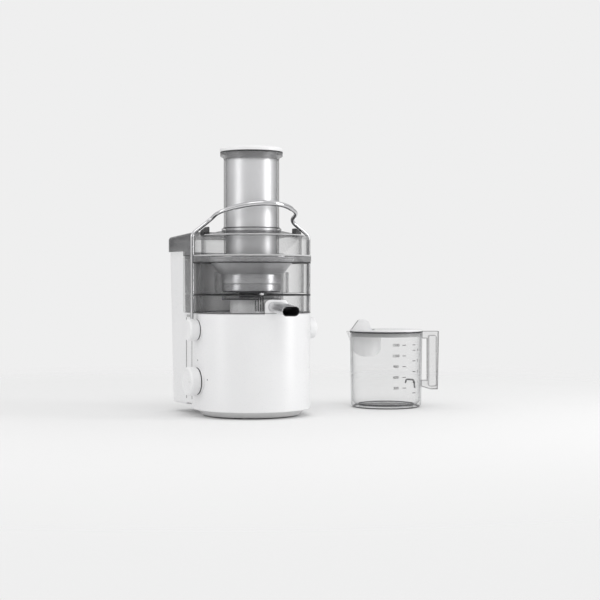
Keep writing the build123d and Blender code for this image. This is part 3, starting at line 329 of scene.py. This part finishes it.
for name, colour, roughness, face_on, edge_on, steepness in (
        ("smoke_clear", (0.18, 0.18, 0.185), 0.08, 0.028, 0.93, 5.0),
        ("smoke_tube", (0.08, 0.08, 0.085), 0.18, 0.045, 0.97, 3.6),
        ("smoke_lip", (0.26, 0.26, 0.265), 0.10, 0.34, 0.96, 1.4),
        ("smoke_band", (0.34, 0.34, 0.345), 0.10, 0.22, 0.95, 2.5),
        # A pale grey for the beads that paint highlights on the lid.
        ("smoke_painted_highlight", (0.85, 0.85, 0.855), 0.10, 0.62, 0.95, 2.5),
        ("smoke_chute", (0.07, 0.07, 0.075), 0.10, 0.06, 0.97, 1.0),
        ("smoke_dense", (0.10, 0.10, 0.105), 0.10, 0.48, 0.96, 2.2),
        ("smoke_edge", (0.05, 0.05, 0.052), 0.14, 0.42, 0.95, 2.2),
        ("smoke_line", (0.03, 0.03, 0.032), 0.50, 0.80, 0.96, 2.2),
        ("clear", (0.24, 0.25, 0.26), 0.06, 0.045, 0.94, 5.0),
        ("clear_edge", (0.05, 0.05, 0.055), 0.12, 0.58, 0.96, 2.0),
        ("clear_dense", (0.22, 0.22, 0.23), 0.07, 0.10, 0.95, 2.5)):
    finishes[name] = clear_finish(name, colour, roughness, face_on, edge_on, steepness)
print("clear finishes made")

# %% Dress every CAD part in its record's finish
wanted = {part["node"]: part["material_slot"] for part in frame["record"]["subparts"]}
for node, obj in frame["nodes"].items():
    obj.data.materials.clear()
    obj.data.materials.append(finishes[wanted[node]])
print("dressed", len(wanted), "parts")


# %% [markdown]
# ## Ways of shaping
# Most pieces of a juicer are turned, bent or moulded, and each has its own way here. A turned
# piece is an outline spun round an axis. A bent rod is a circle drawn along straight runs and
# spun round each bend. A moulding starts from the CAD part itself: its triangles are joined,
# its flat faces cleaned, and its sharp edges rounded, because a mould can't make a knife edge.


# %% Turned, bent and moulded
def turned(points, rounding=0.0, steps=128):
    """A bmesh spun about Z from a closed outline of (radius, height) points in millimetres."""
    bm = bmesh.new()
    corners = [bm.verts.new((radius * MM, 0, height * MM)) for radius, height in points]
    bm.faces.new(corners)
    if rounding:
        off_axis = [v for v in bm.verts if v.co.x > 1e-6]
        bmesh.ops.bevel(bm, geom=off_axis, offset=rounding * MM, offset_type="OFFSET",
                        affect="VERTICES", segments=3, profile=0.5, material=-1,
                        clamp_overlap=True)
    bmesh.ops.delete(bm, geom=bm.faces[:], context="FACES_ONLY")
    bmesh.ops.spin(bm, geom=bm.verts[:] + bm.edges[:], cent=(0, 0, 0), axis=(0, 0, 1),
                   angle=tau, steps=steps, use_merge=True)
    bmesh.ops.remove_doubles(bm, verts=bm.verts[:], dist=2e-6)
    bmesh.ops.recalc_face_normals(bm, faces=bm.faces[:])
    return bm


def bent_rod(points, bends, radius, sides=24):
    """A bmesh rod along straight runs between points, with one bend radius per inner point."""
    points = [Vector(p) * MM for p in points]
    bm = bmesh.new()
    start = (points[1] - points[0]).normalized()
    turn = Vector((0, 0, 1)).rotation_difference(start).to_matrix().to_4x4()
    bmesh.ops.create_circle(bm, cap_ends=False, radius=radius * MM, segments=sides,
                            matrix=Matrix.Translation(points[0]) @ turn)
    rim = bm.edges[:]
    bmesh.ops.holes_fill(bm, edges=rim, sides=sides)
    at = points[0]

    def run_to(goal, rim):
        """Draws the open end straight on to the goal."""
        made = bmesh.ops.extrude_edge_only(bm, edges=rim)["geom"]
        moved = [g for g in made if isinstance(g, bmesh.types.BMVert)]
        bmesh.ops.translate(bm, verts=moved, vec=goal - at)
        return [g for g in made if isinstance(g, bmesh.types.BMEdge)]

    for index in range(1, len(points) - 1):
        corner, bend = points[index], bends[index - 1] * MM
        before = (corner - points[index - 1]).normalized()
        after = (points[index + 1] - corner).normalized()
        angle = before.angle(after)
        entry = corner - before * bend * tan(angle / 2)
        rim = run_to(entry, rim)
        inward = (after - before * before.dot(after)).normalized()
        steps = max(4, int(angle / radians(5)))
        made = bmesh.ops.spin(bm, geom=rim, cent=entry + inward * bend,
                              axis=before.cross(after).normalized(), angle=angle, steps=steps)
        rim = [g for g in made["geom_last"] if isinstance(g, bmesh.types.BMEdge)]
        at = corner + after * bend * tan(angle / 2)
    rim = run_to(points[-1], rim)
    bmesh.ops.holes_fill(bm, edges=rim, sides=sides)
    bmesh.ops.remove_doubles(bm, verts=bm.verts[:], dist=1e-6)
    bmesh.ops.recalc_face_normals(bm, faces=bm.faces[:])
    return bm


SHARP_FROM = radians(35)


def merged(node):
    """A bmesh copy of a CAD part with its triangles joined into flat faces."""
    bm = bmesh.new()
    bm.from_mesh(frame["nodes"][node].data)
    bmesh.ops.remove_doubles(bm, verts=bm.verts[:], dist=2e-6)
    bmesh.ops.dissolve_limit(bm, angle_limit=radians(1), verts=bm.verts[:], edges=bm.edges[:])
    return bm


def soften(bm, rounding):
    """Rounds the sharp edges, in millimetres, and gives the new faces the second finish."""
    sharp = [e for e in bm.edges if e.calc_face_angle(0.0) > SHARP_FROM]
    made = bmesh.ops.bevel(bm, geom=sharp, offset=rounding * MM, offset_type="OFFSET",
                           affect="EDGES", segments=2, profile=0.5, material=-1,
                           clamp_overlap=True)
    for face in made["faces"]:
        face.material_index = 1
    return bm


def moulded(node, rounding):
    """A bmesh copy of a CAD part with rounded edges."""
    return soften(merged(node), rounding)


def blocks(size, centres, rounding, segments=2, turn=0.0):
    """Bevelled boxes of one size, in millimetres, each turned about Z and set on its own centre."""
    bm = bmesh.new()
    for centre in centres:
        made = bmesh.ops.create_cube(bm, size=1)["verts"]
        bmesh.ops.scale(bm, verts=made, vec=Vector(size) * MM)
        bmesh.ops.rotate(bm, verts=made, cent=(0, 0, 0), matrix=Matrix.Rotation(turn, 3, "Z"))
        bmesh.ops.translate(bm, verts=made, vec=Vector(centre) * MM)
    bmesh.ops.bevel(bm, geom=bm.edges[:], offset=rounding * MM, affect="EDGES",
                    segments=segments, profile=0.5, material=-1)
    return bm


def place(name, bm, body, finish, stands_for=(), smooth=40, takes=None, edges=None):
    """Turns a finished bmesh into a named piece that rides on a body; edges is a second finish."""
    mesh = bpy.data.meshes.new(name)
    bm.to_mesh(mesh)
    bm.free()
    mesh.shade_smooth()
    mesh.set_sharp_from_angle(angle=radians(smooth))
    obj = bpy.data.objects.new(name, mesh)
    scene.collection.objects.link(obj)
    mesh.materials.append(finishes[finish])
    mesh.materials.append(finishes[edges or finish])
    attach(obj, body)
    if stands_for:
        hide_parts(*stands_for)
    print(f"{name}: {len(mesh.polygons)} faces on {body}")
    return obj


def clear_ring(name, body, finish, inner, outer, low, high, rounding):
    """A bead or line of square section, in millimetres, round the juicer's smoke-grey shells."""
    ring = turned([(inner, low), (outer, low), (outer, high), (inner, high)], rounding=rounding)
    place(name, ring, body, finish, takes="smoke_clear")


# %% [markdown]
# ## The locking bail
# One steel rod is bent into the whole bail: two upright legs in the white caps, two diagonals
# that press on the lid's lugs, and an arch that leans forward round the feed tube to be gripped.

# %% Bend the rod
LEG_X = 109.0
LEG_FOOT, LEG_TOP = 152.0, 306.0
SHOULDER = (74.0, 332.0)
ARCH_LEAN, ARCH_RISE, ARCH_HALF = 66.0, 25.0, 30.0
ARCH_BEND = 72
ROD_RADIUS, SLEEVE_RADIUS = 3.25, 4.3


def on_arch(across, share):
    """A point in the arch's leaning plane; share runs from its shoulders to its front."""
    return (across, -ARCH_LEAN * share, SHOULDER[1] + ARCH_RISE * share)


half = [(LEG_X, 0, LEG_FOOT), (LEG_X, 0, LEG_TOP), on_arch(SHOULDER[0], 0),
        on_arch(SHOULDER[0], 0.42), on_arch(ARCH_HALF, 1)]
mirrored = [(-x, y, z) for x, y, z in reversed(half)]
half_bends = [12, 15, 38, ARCH_BEND]
bail = bent_rod(half + mirrored, half_bends + half_bends[::-1], ROD_RADIUS)
place("bail_bent_rod", bail, "bail", "polished_steel", ("bail_rod",), smooth=60)

grip_end = on_arch((SHOULDER[0] + ARCH_HALF) / 2, 0.71)
grip_path = [grip_end, on_arch(ARCH_HALF, 1), on_arch(-ARCH_HALF, 1),
             (-grip_end[0], grip_end[1], grip_end[2])]
grip = bent_rod(grip_path, [ARCH_BEND, ARCH_BEND], SLEEVE_RADIUS)
rims = [e for e in grip.edges if e.calc_face_angle(0.0) > radians(60)]
bmesh.ops.bevel(grip, geom=rims, offset=0.8 * MM, offset_type="OFFSET", affect="EDGES",
                segments=3, profile=0.5, material=-1)
place("bail_grip_sleeve", grip, "bail", "polished_steel", ("bail_grip",), smooth=60)

# %% [markdown]
# ## Feed tube and pusher
# The tube is turned, with a lip that flares out under the pusher's cap. The silver barrel inside
# is what gives the tube its long soft highlights; the tube only darkens its edges.

# %% Turn the tube and the pusher
TUBE_RADIUS = 47.0
tube_low, tube_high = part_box("feed_tube")
lip_top = tube_high.z / MM
crown_top = 313.0
feed_tube = turned([
    (44.0, tube_low.z / MM), (TUBE_RADIUS, tube_low.z / MM), (TUBE_RADIUS, crown_top + 0.7),
    (51.0, crown_top + 0.7), (50.6, crown_top + 3.4), (47.6, crown_top + 4.6),
    (TUBE_RADIUS, crown_top + 8), (TUBE_RADIUS, lip_top - 12.5), (44.0, lip_top - 12.5)])
place("feed_tube_turned", feed_tube, "lid", "smoke_tube", ("feed_tube",), takes="smoke_clear")
lip = turned([
    (44.0, lip_top - 12.4), (47.0, lip_top - 12.4), (48.4, lip_top - 9.4),
    (52.6, lip_top - 7.2), (53.0, lip_top - 6.4), (53.0, lip_top - 0.6), (52.4, lip_top),
    (44.6, lip_top), (44.0, lip_top - 0.6)])
place("feed_tube_lip", lip, "lid", "smoke_lip", takes="smoke_clear")
clear_ring("feed_tube_lip_edge", "lid", "smoke_line", 51.6, 53.2, lip_top - 1.8, lip_top + 0.1, 0.4)
clear_ring("feed_tube_foot_line", "lid", "smoke_line", 46.8, 48.2, crown_top + 4.2, crown_top + 5.4,
           0.3)

barrel_low, barrel_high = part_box("pusher_barrel")
barrel = turned([
    (0, barrel_low.z / MM), (41.4, barrel_low.z / MM), (43.4, barrel_low.z / MM + 2),
    (43.4, barrel_high.z / MM), (41.0, barrel_high.z / MM), (41.0, barrel_low.z / MM + 3),
    (0, barrel_low.z / MM + 3)], rounding=0.4)
place("pusher_barrel_turned", barrel, "pusher", "silver_plastic", ("pusher_barrel",))

cap_low, cap_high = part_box("pusher_cap")
cap_top = cap_high.z / MM
cap = turned([
    (0, cap_low.z / MM), (40.9, cap_low.z / MM), (40.9, lip_top + 0.5), (53.5, lip_top + 0.5),
    (53.5, cap_top - 2.4), (51.0, cap_top), (39.6, cap_top), (38.0, cap_top - 1.6),
    (37.4, cap_top - 6.0), (0, cap_top - 6.0)], rounding=0.7)
place("pusher_cap_turned", cap, "pusher", "white_gloss", ("pusher_cap",))

bar = blocks((74.4, 9, 6.0), [(0, 0, cap_top - 3.1)], 1.2, segments=4)
place("pusher_finger_bar", bar, "pusher", "white_gloss")

# %% [markdown]
# ## Lid and bowl
# Both are thin smoke-grey mouldings. The CAD parts have their true form, so their copies only
# need the small radii that a mould leaves, and a wide one along the top of the chute. The radii
# get a darker finish of their own, because that is where one looks along a clear wall and not
# through it. The lid's rim is thicker than its walls, so a denser band goes round it, and two fine
# pale beads paint the highlights along its rounded rim and crest. The chute and the crown are
# denser again, but the chute's right wall keeps the lid's finish.

# %% Mould the lid and its chute
CHUTE_RADIUS, CHUTE_FROM_Y, CHUTE_TO_X = 101, 30, 60
CROWN_FROM_Z = 304.5
lid = merged("lid")
ridge = [e for e in lid.edges if e.is_convex and e.calc_face_angle(0.0) > SHARP_FROM
         and all(v.co.z > 300 * MM and v.co.y > 25 * MM for v in e.verts)
         and all(abs(v.co.x) > 94 * MM or v.co.y > 127 * MM for v in e.verts)]
print("chute ridges:", len(ridge))
bmesh.ops.bevel(lid, geom=ridge, offset=5 * MM, offset_type="OFFSET", affect="EDGES", segments=5,
                profile=0.5, material=-1, clamp_overlap=False)
soften(lid, 0.9)
lid_piece = place("lid_moulded", lid, "lid", "smoke_clear", ("lid",), edges="smoke_edge")
lid_piece.data.materials.append(finishes["smoke_chute"])
for face in lid_piece.data.polygons:
    centre = face.center / MM
    on_chute = (centre.y > CHUTE_FROM_Y and centre.xy.length > CHUTE_RADIUS
                and centre.x < CHUTE_TO_X)
    on_crown = centre.z > CROWN_FROM_Z and centre.xy.length > TUBE_RADIUS
    if (on_chute or on_crown) and face.material_index == 0:
        face.material_index = 2

# %% Rim band, painted highlight beads and lugs of the lid
rim_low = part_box("lid")[0].z / MM
clear_ring("lid_rim_band", "lid", "smoke_band", 97.4, 101.4, rim_low, rim_low + 9.2, 0.3)
# The two pale beads paint the highlights on the lid's rounded rim and crest.
clear_ring("lid_rim_highlight_bead", "lid", "smoke_painted_highlight", 98.6, 101.6, rim_low + 9.4, rim_low + 11.6, 0.7)
clear_ring("lid_crest_highlight_bead", "lid", "smoke_painted_highlight", 86.2, 90.2, 303.9, 305.9, 0.8)
place("lid_lugs_moulded", moulded("lid_lugs", 1.4), "lid", "smoke_line", ("lid_lugs",),
      takes=wanted["lid_lugs"])

# %% Mould the bowl and its lines
place("juice_bowl_moulded", moulded("juice_bowl", 0.6), "base", "smoke_clear", ("juice_bowl",),
      edges="smoke_edge")
clear_ring("bowl_floor_line", "base", "smoke_line", 97.6, 100.5, 203.2, 205.4, 0.4)
clear_ring("bowl_foot_line", "base", "smoke_edge", 97.8, 100.3, 174.2, 175.5, 0.3)
clear_ring("bowl_rim_line", "base", "smoke_line", 97.6, 100.6, rim_low - 2.6, rim_low - 0.3, 0.5)

# %% [markdown]
# ## The basket
# The basket is spun from sheet: a straight cup with a rolled step, then a flaring cone that is
# pierced all over. The holes are too fine to cut one by one, so the cone's finish pierces it in
# rings of dots, counted round the axis and up the slope.

# %% Spin the cup
cup_low, cup_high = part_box("basket_cup")
low, high = cup_low.z / MM, cup_high.z / MM
cup = turned([
    (0, high), (0, high - 2), (49.0, high - 2), (49.0, low), (50.0, low), (50.4, low + 1),
    (50.4, low + 10.6), (49.6, low + 11.4), (49.6, low + 12.2), (51.0, low + 13.0),
    (51.0, high - 1.2), (50.0, high)], rounding=0.3)
# The cup takes a darker copy of satin steel, painting the dark reflections on it.
place("basket_cup_spun", cup, "rotor", "cup_steel_painted_dark", ("basket_cup",), takes="satin_steel")


# %% Pierce the cone
def pierced_steel(name, around, pitch):
    """Satin steel with dark round holes: their number around, and their pitch up in metres."""
    finish, tree, shader = new_finish(name)
    place_at = tree.nodes.new("ShaderNodeTexCoord")
    parts = tree.nodes.new("ShaderNodeSeparateXYZ")
    tree.links.new(place_at.outputs["Object"], parts.inputs[0])

    def math(operation, *values):
        node = tree.nodes.new("ShaderNodeMath")
        node.operation = operation
        for socket, value in zip(node.inputs, values):
            if isinstance(value, (int, float)):
                socket.default_value = value
            else:
                tree.links.new(value, socket)
        return node.outputs["Value"]

    turn = math("MULTIPLY", math("ARCTAN2", parts.outputs["Y"], parts.outputs["X"]), around / tau)
    row = math("DIVIDE", parts.outputs["Z"], pitch)
    odd = math("MULTIPLY", math("MODULO", math("FLOOR", row), 2.0), 0.5)
    across = math("SUBTRACT", math("FRACT", math("ADD", turn, odd)), 0.5)
    up = math("SUBTRACT", math("FRACT", row), 0.5)
    reach = math("SQRT", math("ADD", math("MULTIPLY", across, across), math("MULTIPLY", up, up)))
    solid = spread(tree, reach, 0, 1, 0.24, 0.32)
    colour = two_tone(tree, solid, (0.10, 0.10, 0.105), (0.76, 0.76, 0.77))
    tree.links.new(colour, shader.inputs["Base Color"])
    tree.links.new(spread(tree, noise(tree, 500), 0.32, 0.42), shader.inputs["Roughness"])
    dent(tree, shader, solid, 0.4, 0.0001)
    shader.inputs["Metallic"].default_value = 1.0
    return finish


HOLES_AROUND, HOLE_PITCH = 240, 0.0016
finishes["pierced_steel"] = pierced_steel("pierced_steel", HOLES_AROUND, HOLE_PITCH)
frame["nodes"]["filter_cone"].data.materials[0] = finishes["pierced_steel"]
print("cone pierced")

# %% [markdown]
# ## The spout
# The steel spout is a flattened tube. Its cut end is rolled over, which shows as a bright rim
# round a dark mouth. Its inner faces are painted black, as the shade inside the tube.

# %% Form the spout
SPOUT_TIP = Vector((0, -150, 179)) * MM
SPOUT_DROP = radians(7)
inward = Vector((0, cos(SPOUT_DROP), sin(SPOUT_DROP)))


def stadium(bm, width, height, sides=32):
    """Adds a flat oval ring of edges to a bmesh, in millimetres, and returns its edges."""
    made = bmesh.ops.create_circle(bm, cap_ends=False, radius=height / 2 * MM, segments=sides)
    for v in made["verts"]:
        v.co.x += (width - height) / 2 * MM * (1 if v.co.x >= 0 else -1)
    return list({e for v in made["verts"] for e in v.link_edges})


spout = bmesh.new()
open_end = stadium(spout, 30.6, 16.1)
for width, height, along in ((31.0, 16.5, 0.4), (31.0, 16.5, 2.6), (30.6, 16.1, 3.4),
                             (30.6, 16.1, 61.5)):
    made = bmesh.ops.extrude_edge_only(spout, edges=open_end)["geom"]
    ring = [g for g in made if isinstance(g, bmesh.types.BMVert)]
    open_end = [g for g in made if isinstance(g, bmesh.types.BMEdge)]
    now = max(v.co.x for v in ring) / MM * 2
    now_high = max(v.co.y for v in ring) / MM * 2
    bmesh.ops.scale(spout, verts=ring, vec=(width / now, height / now_high, 1))
    for v in ring:
        v.co.z = along * MM
bmesh.ops.recalc_face_normals(spout, faces=spout.faces[:])
bmesh.ops.solidify(spout, geom=spout.faces[:], thickness=1.1 * MM)
bmesh.ops.rotate(spout, verts=spout.verts, cent=(0, 0, 0),
                 matrix=Vector((0, 0, 1)).rotation_difference(inward).to_matrix())
bmesh.ops.translate(spout, verts=spout.verts, vec=SPOUT_TIP)
bmesh.ops.recalc_face_normals(spout, faces=spout.faces[:])
spout_piece = place("spout_rolled", spout, "base", "satin_steel", ("spout",),
                    takes="polished_steel", edges="black_plastic")
# The inner faces take black plastic as painted shade inside the tube.
for face in spout_piece.data.polygons:
    out = face.center - SPOUT_TIP
    out -= inward * out.dot(inward)
    if face.normal.dot(out) < -0.2 * out.length:
        face.material_index = 1

# %% [markdown]
# ## Knobs and caps
# The speed dial and the two caps of the bail's hinge are turned mouldings that face sideways.
# Each has a rounded edge. The dial's face is dished a little, which shows as a soft shadow line.


# %% Turn the dial and the caps
def facing(bm, side, at):
    """Lays a turned piece on its side, facing -X or +X, with its foot at a point in millimetres."""
    lean = Matrix.Rotation(side * pi / 2, 3, "Y")
    bmesh.ops.rotate(bm, verts=bm.verts, cent=(0, 0, 0), matrix=lean)
    bmesh.ops.translate(bm, verts=bm.verts, vec=Vector(at) * MM)
    return bm


dial_low, dial_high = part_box("speed_dial")
dial_foot, dial_z = dial_high.x / MM, (dial_low.z + dial_high.z) / 2 / MM
dial_length = (dial_high.x - dial_low.x) / MM
dial = turned([
    (0, 0), (22.6, 0), (22.6, 1.6), (24.0, 2.2), (24.0, dial_length - 2.6),
    (21.6, dial_length), (19.6, dial_length), (18.6, dial_length - 0.7), (0, dial_length - 0.7)],
    rounding=0.6)
place("speed_dial_turned", facing(dial, -1, (dial_foot, 0, dial_z)), "dial", "white_gloss",
      ("speed_dial",))

pointer = blocks((1.2, 9, 1.6), [(dial_foot - dial_length + 0.7, -11.5, dial_z)], 0.35)
place("speed_dial_pointer", pointer, "dial", "white_matte")

cap_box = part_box("pivot_caps")
CAP_FOOT = 102.2
cap_length = cap_box[1].x / MM - CAP_FOOT
cap_z = (cap_box[0].z + cap_box[1].z) / 2 / MM
for side, word in ((1, "right"), (-1, "left")):
    hinge_cap = turned([
        (0, 0), (17.6, 0), (17.6, 1.2), (18.5, 1.8), (18.5, cap_length - 2.4),
        (16.2, cap_length), (0, cap_length)], rounding=0.6)
    place(f"pivot_cap_{word}", facing(hinge_cap, side, (side * CAP_FOOT, 0, cap_z)), "bail",
          "white_gloss", ("pivot_caps",))

# %% The bosses, and dark rings that paint the shadow in the gaps behind them
FLANK = 98.0
for name, side, radius, up in (("dial", -1, 23.4, dial_z), ("cap_left", -1, 18.0, cap_z),
                               ("cap_right", 1, 18.0, cap_z)):
    boss = turned([(0, -0.4), (radius, -0.4), (radius, 2.7), (0, 2.7)], rounding=0.4)
    place(f"{name}_boss", facing(boss, side, (side * FLANK, 0, up)), "base", "white_gloss")
    # A dark ring set in the gap paints the shadow that falls there.
    painted_shadow_ring = turned([(0, 2.6), (radius - 0.5, 2.6), (radius - 0.5, 3.9), (0, 3.9)], rounding=0.3)
    place(f"{name}_gap", facing(painted_shadow_ring, side, (side * FLANK, 0, up)), "base", "dark_grey")

# %% [markdown]
# ## Flanks of the housing
# The strip between the front shell and the container has two fine dark ribs, painted shade at the
# edges of its recess, and a small grey plate on top, painted shade of a shallow recess.

# %% Ribs and a plate of painted shade on the flanks
for side, word in ((1, "right"), (-1, "left")):
    # The two dark ribs paint the shade along the edges of the strip's recess.
    ribs = blocks((1.2, 1.2, 138), [(side * 96.2, along, 97) for along in (32, 56)], 0.35)
    place(f"flank_shade_ribs_{word}", ribs, "base", "recess_shade_grey", takes="white_gloss")
    # The grey plate paints the shade of a small recess at the strip's top.
    plate = blocks((1.0, 21, 6.5), [(side * 96.1, 44, 170)], 0.4)
    place(f"flank_shade_plate_{word}", plate, "base", "gasket_and_shade_grey", takes="white_gloss")

# %% [markdown]
# ## Marks and small fittings
# Two printed ticks on the body show the dial's positions. Beside the spout a ribbed clip with a
# bright pin holds the bowl down, seen through the skirt.

# %% Ticks and the clip
BODY_RADIUS, TICK_RADIUS, SKIRT_RADIUS = 100, 100.05, 100.4
for number, (along, up) in enumerate(((-2.0, 95.6), (-31.0, 64.5))):
    tick = blocks((0.4, 1.4, 2.4), [(-sqrt(TICK_RADIUS ** 2 - along ** 2), along, up)], 0.12,
                  turn=atan2(-along, BODY_RADIUS))
    place(f"dial_tick_{number}", tick, "base", "print_grey", takes="dark_grey")

clip = blocks((1.1, 5, 25), [(across, 2.6 - sqrt(SKIRT_RADIUS ** 2 - across ** 2), 190.6)
                             for across in (-35.0, -31.2, -27.4, -23.6)], 0.25)
place("spout_clip_ribs", clip, "base", "smoke_dense", takes="smoke_clear")
pin = bmesh.new()
bmesh.ops.create_uvsphere(pin, u_segments=24, v_segments=14, radius=2.3 * MM)
bmesh.ops.scale(pin, verts=pin.verts, vec=(1.5, 1, 1))
bmesh.ops.translate(pin, verts=pin.verts, vec=Vector((-27, -98.2, 206.4)) * MM)
place("spout_clip_pin", pin, "base", "polished_steel")

# %% [markdown]
# ## The jug
# The jug is one clear moulding with a thicker rim, a standing ring and a hollow slab of a handle.
# Its white lid has a hood over the lip, grey inside as painted shade, and a curved wall below that
# holds back the froth. The
# scale is printed on the side that faces the user while the handle is in the right hand.

# %% Mould the jug, its handle and its lid
JUG_AT, JUG_TURN = Vector((282, 28, 0)), radians(-27)
HOOD_NEAR, HOOD_FAR, HOOD_HALF, HOOD_FLOOR = -27, -62, 17, 140
jug_place = Matrix.Translation(JUG_AT * MM) @ Matrix.Rotation(JUG_TURN, 4, "Z")
place("jug_moulded", moulded("jug", 0.5), "jug", "clear", ("jug",), edges="clear_edge")
place("jug_handle_moulded", moulded("jug_handle", 0.8), "jug", "clear_dense", ("jug_handle",),
      takes="clear", edges="clear_edge")
jug_lid = place("jug_lid_moulded", moulded("jug_lid", 0.8), "jug_lid", "white_gloss",
                ("jug_lid",))
hood_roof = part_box("jug_lid")[1].z / MM - 1.4
# The faces inside the hood take the grey as painted shade.
jug_lid.data.materials.append(finishes["gasket_and_shade_grey"])
for face in jug_lid.data.polygons:
    local = jug_place.inverted() @ face.center / MM
    within = HOOD_FAR < local.x < HOOD_NEAR and abs(local.y) < HOOD_HALF
    if within and HOOD_FLOOR < local.z < hood_roof:
        face.material_index = 2
# The separator takes a brighter white than the lid, painting the light on it; its rounded edges take
# the grey.
place("froth_separator_moulded", moulded("froth_separator", 0.7), "jug_lid", "white_painted_bright",
      ("froth_separator",), takes=wanted["froth_separator"], edges="gasket_and_shade_grey")


def jug_ring(name, points, body, finish, takes):
    """A turned ring about the jug's axis."""
    ring = turned(points, rounding=0.3, steps=96)
    bmesh.ops.transform(ring, verts=ring.verts, matrix=jug_place)
    place(name, ring, body, finish, takes=takes)


for name, points in (
        ("jug_rim_bead", [(64.6, 134.6), (66.2, 134.6), (66.2, 137.0), (64.6, 137.0)]),
        ("jug_base_ring", [(48.8, 4.4), (50.6, 4.4), (50.6, 6.4), (48.8, 6.4)]),
        ("jug_foot_line", [(57.0, 0.2), (59.4, 0.2), (61.2, 1.6), (60.4, 2.2)])):
    jug_ring(name, points, "jug", "clear_edge", "clear")
jug_ring("jug_lid_gasket", [(61.0, 127.6), (62.9, 127.6), (62.9, 136.9), (61.0, 136.9)], "jug_lid",
         "gasket_and_shade_grey", "white_matte")

# %% Print the scale
SCALE_RADIUS, SCALE_RAISED = 65.0, 0.25


def wrapped(bm, column, height):
    """Wraps flat print, drawn upright in millimetres, round the jug at an angle and height."""
    for v in bm.verts:
        turn = column + v.co.x / SCALE_RADIUS
        radius = (SCALE_RADIUS + SCALE_RAISED) * MM
        v.co = Vector((sin(turn) * radius, -cos(turn) * radius, (height + v.co.y) * MM))
    bmesh.ops.transform(bm, verts=bm.verts, matrix=jug_place)
    return bm


scale = bmesh.new()
for column, heights, width in ((radians(26), (38, 57, 76, 95, 114), 7),
                               (radians(46), (28.5, 47.5, 66.5, 85.5, 104.5, 114), 8)):
    for height in heights:
        stroke = bmesh.new()
        bmesh.ops.create_grid(stroke, x_segments=6, y_segments=1, size=0.5)
        bmesh.ops.scale(stroke, verts=stroke.verts, vec=(width, 1.2, 1))
        wrapped(stroke, column, height)
        sheet = bpy.data.meshes.new("stroke")
        stroke.to_mesh(sheet)
        scale.from_mesh(sheet)
        stroke.free()
        bpy.data.meshes.remove(sheet)
place("jug_scale_strokes", scale, "jug", "print_grey", takes="dark_grey")

# %% A curved rib on the jug's far wall, beside the handle
RIB_RADIUS = 64.9
arm_root = [(143, 39), (141, 46), (125, 46), (122, 31)]
route = [(sin(radians(turn)) * RIB_RADIUS, -cos(radians(turn)) * RIB_RADIUS, up)
         for turn, up in arm_root]
hook = bent_rod(route, [4, 5], 1.6, sides=12)
bmesh.ops.transform(hook, verts=hook.verts, matrix=jug_place)
place("jug_arm_root_rib", hook, "jug", "clear_edge", smooth=60, takes="clear")

# %% Print the figures
figures = bmesh.new()
millilitres = ((38, "300"), (57, "600"), (76, "900"), (95, "1200"), (114, "1500"))
cups = ((47.5, "1"), (66.5, "2"), (85.5, "3"), (104.5, "4"))
for column, rows in ((radians(12), millilitres), (radians(56), cups)):
    for height, words in rows:
        text = bpy.data.curves.new("figure", "FONT")
        text.body = words
        text.size = 6.6
        text.offset = 0.12
        text.align_x = "CENTER"
        text.align_y = "CENTER"
        text_obj = bpy.data.objects.new("figure", text)
        flat = bpy.data.meshes.new_from_object(text_obj)
        word = bmesh.new()
        word.from_mesh(flat)
        wrapped(word, column, height)
        word.to_mesh(flat)
        word.free()
        figures.from_mesh(flat)
        bpy.data.objects.remove(text_obj)
        bpy.data.curves.remove(text)
        bpy.data.meshes.remove(flat)
place("jug_scale_figures", figures, "jug", "print_grey", takes="dark_grey")
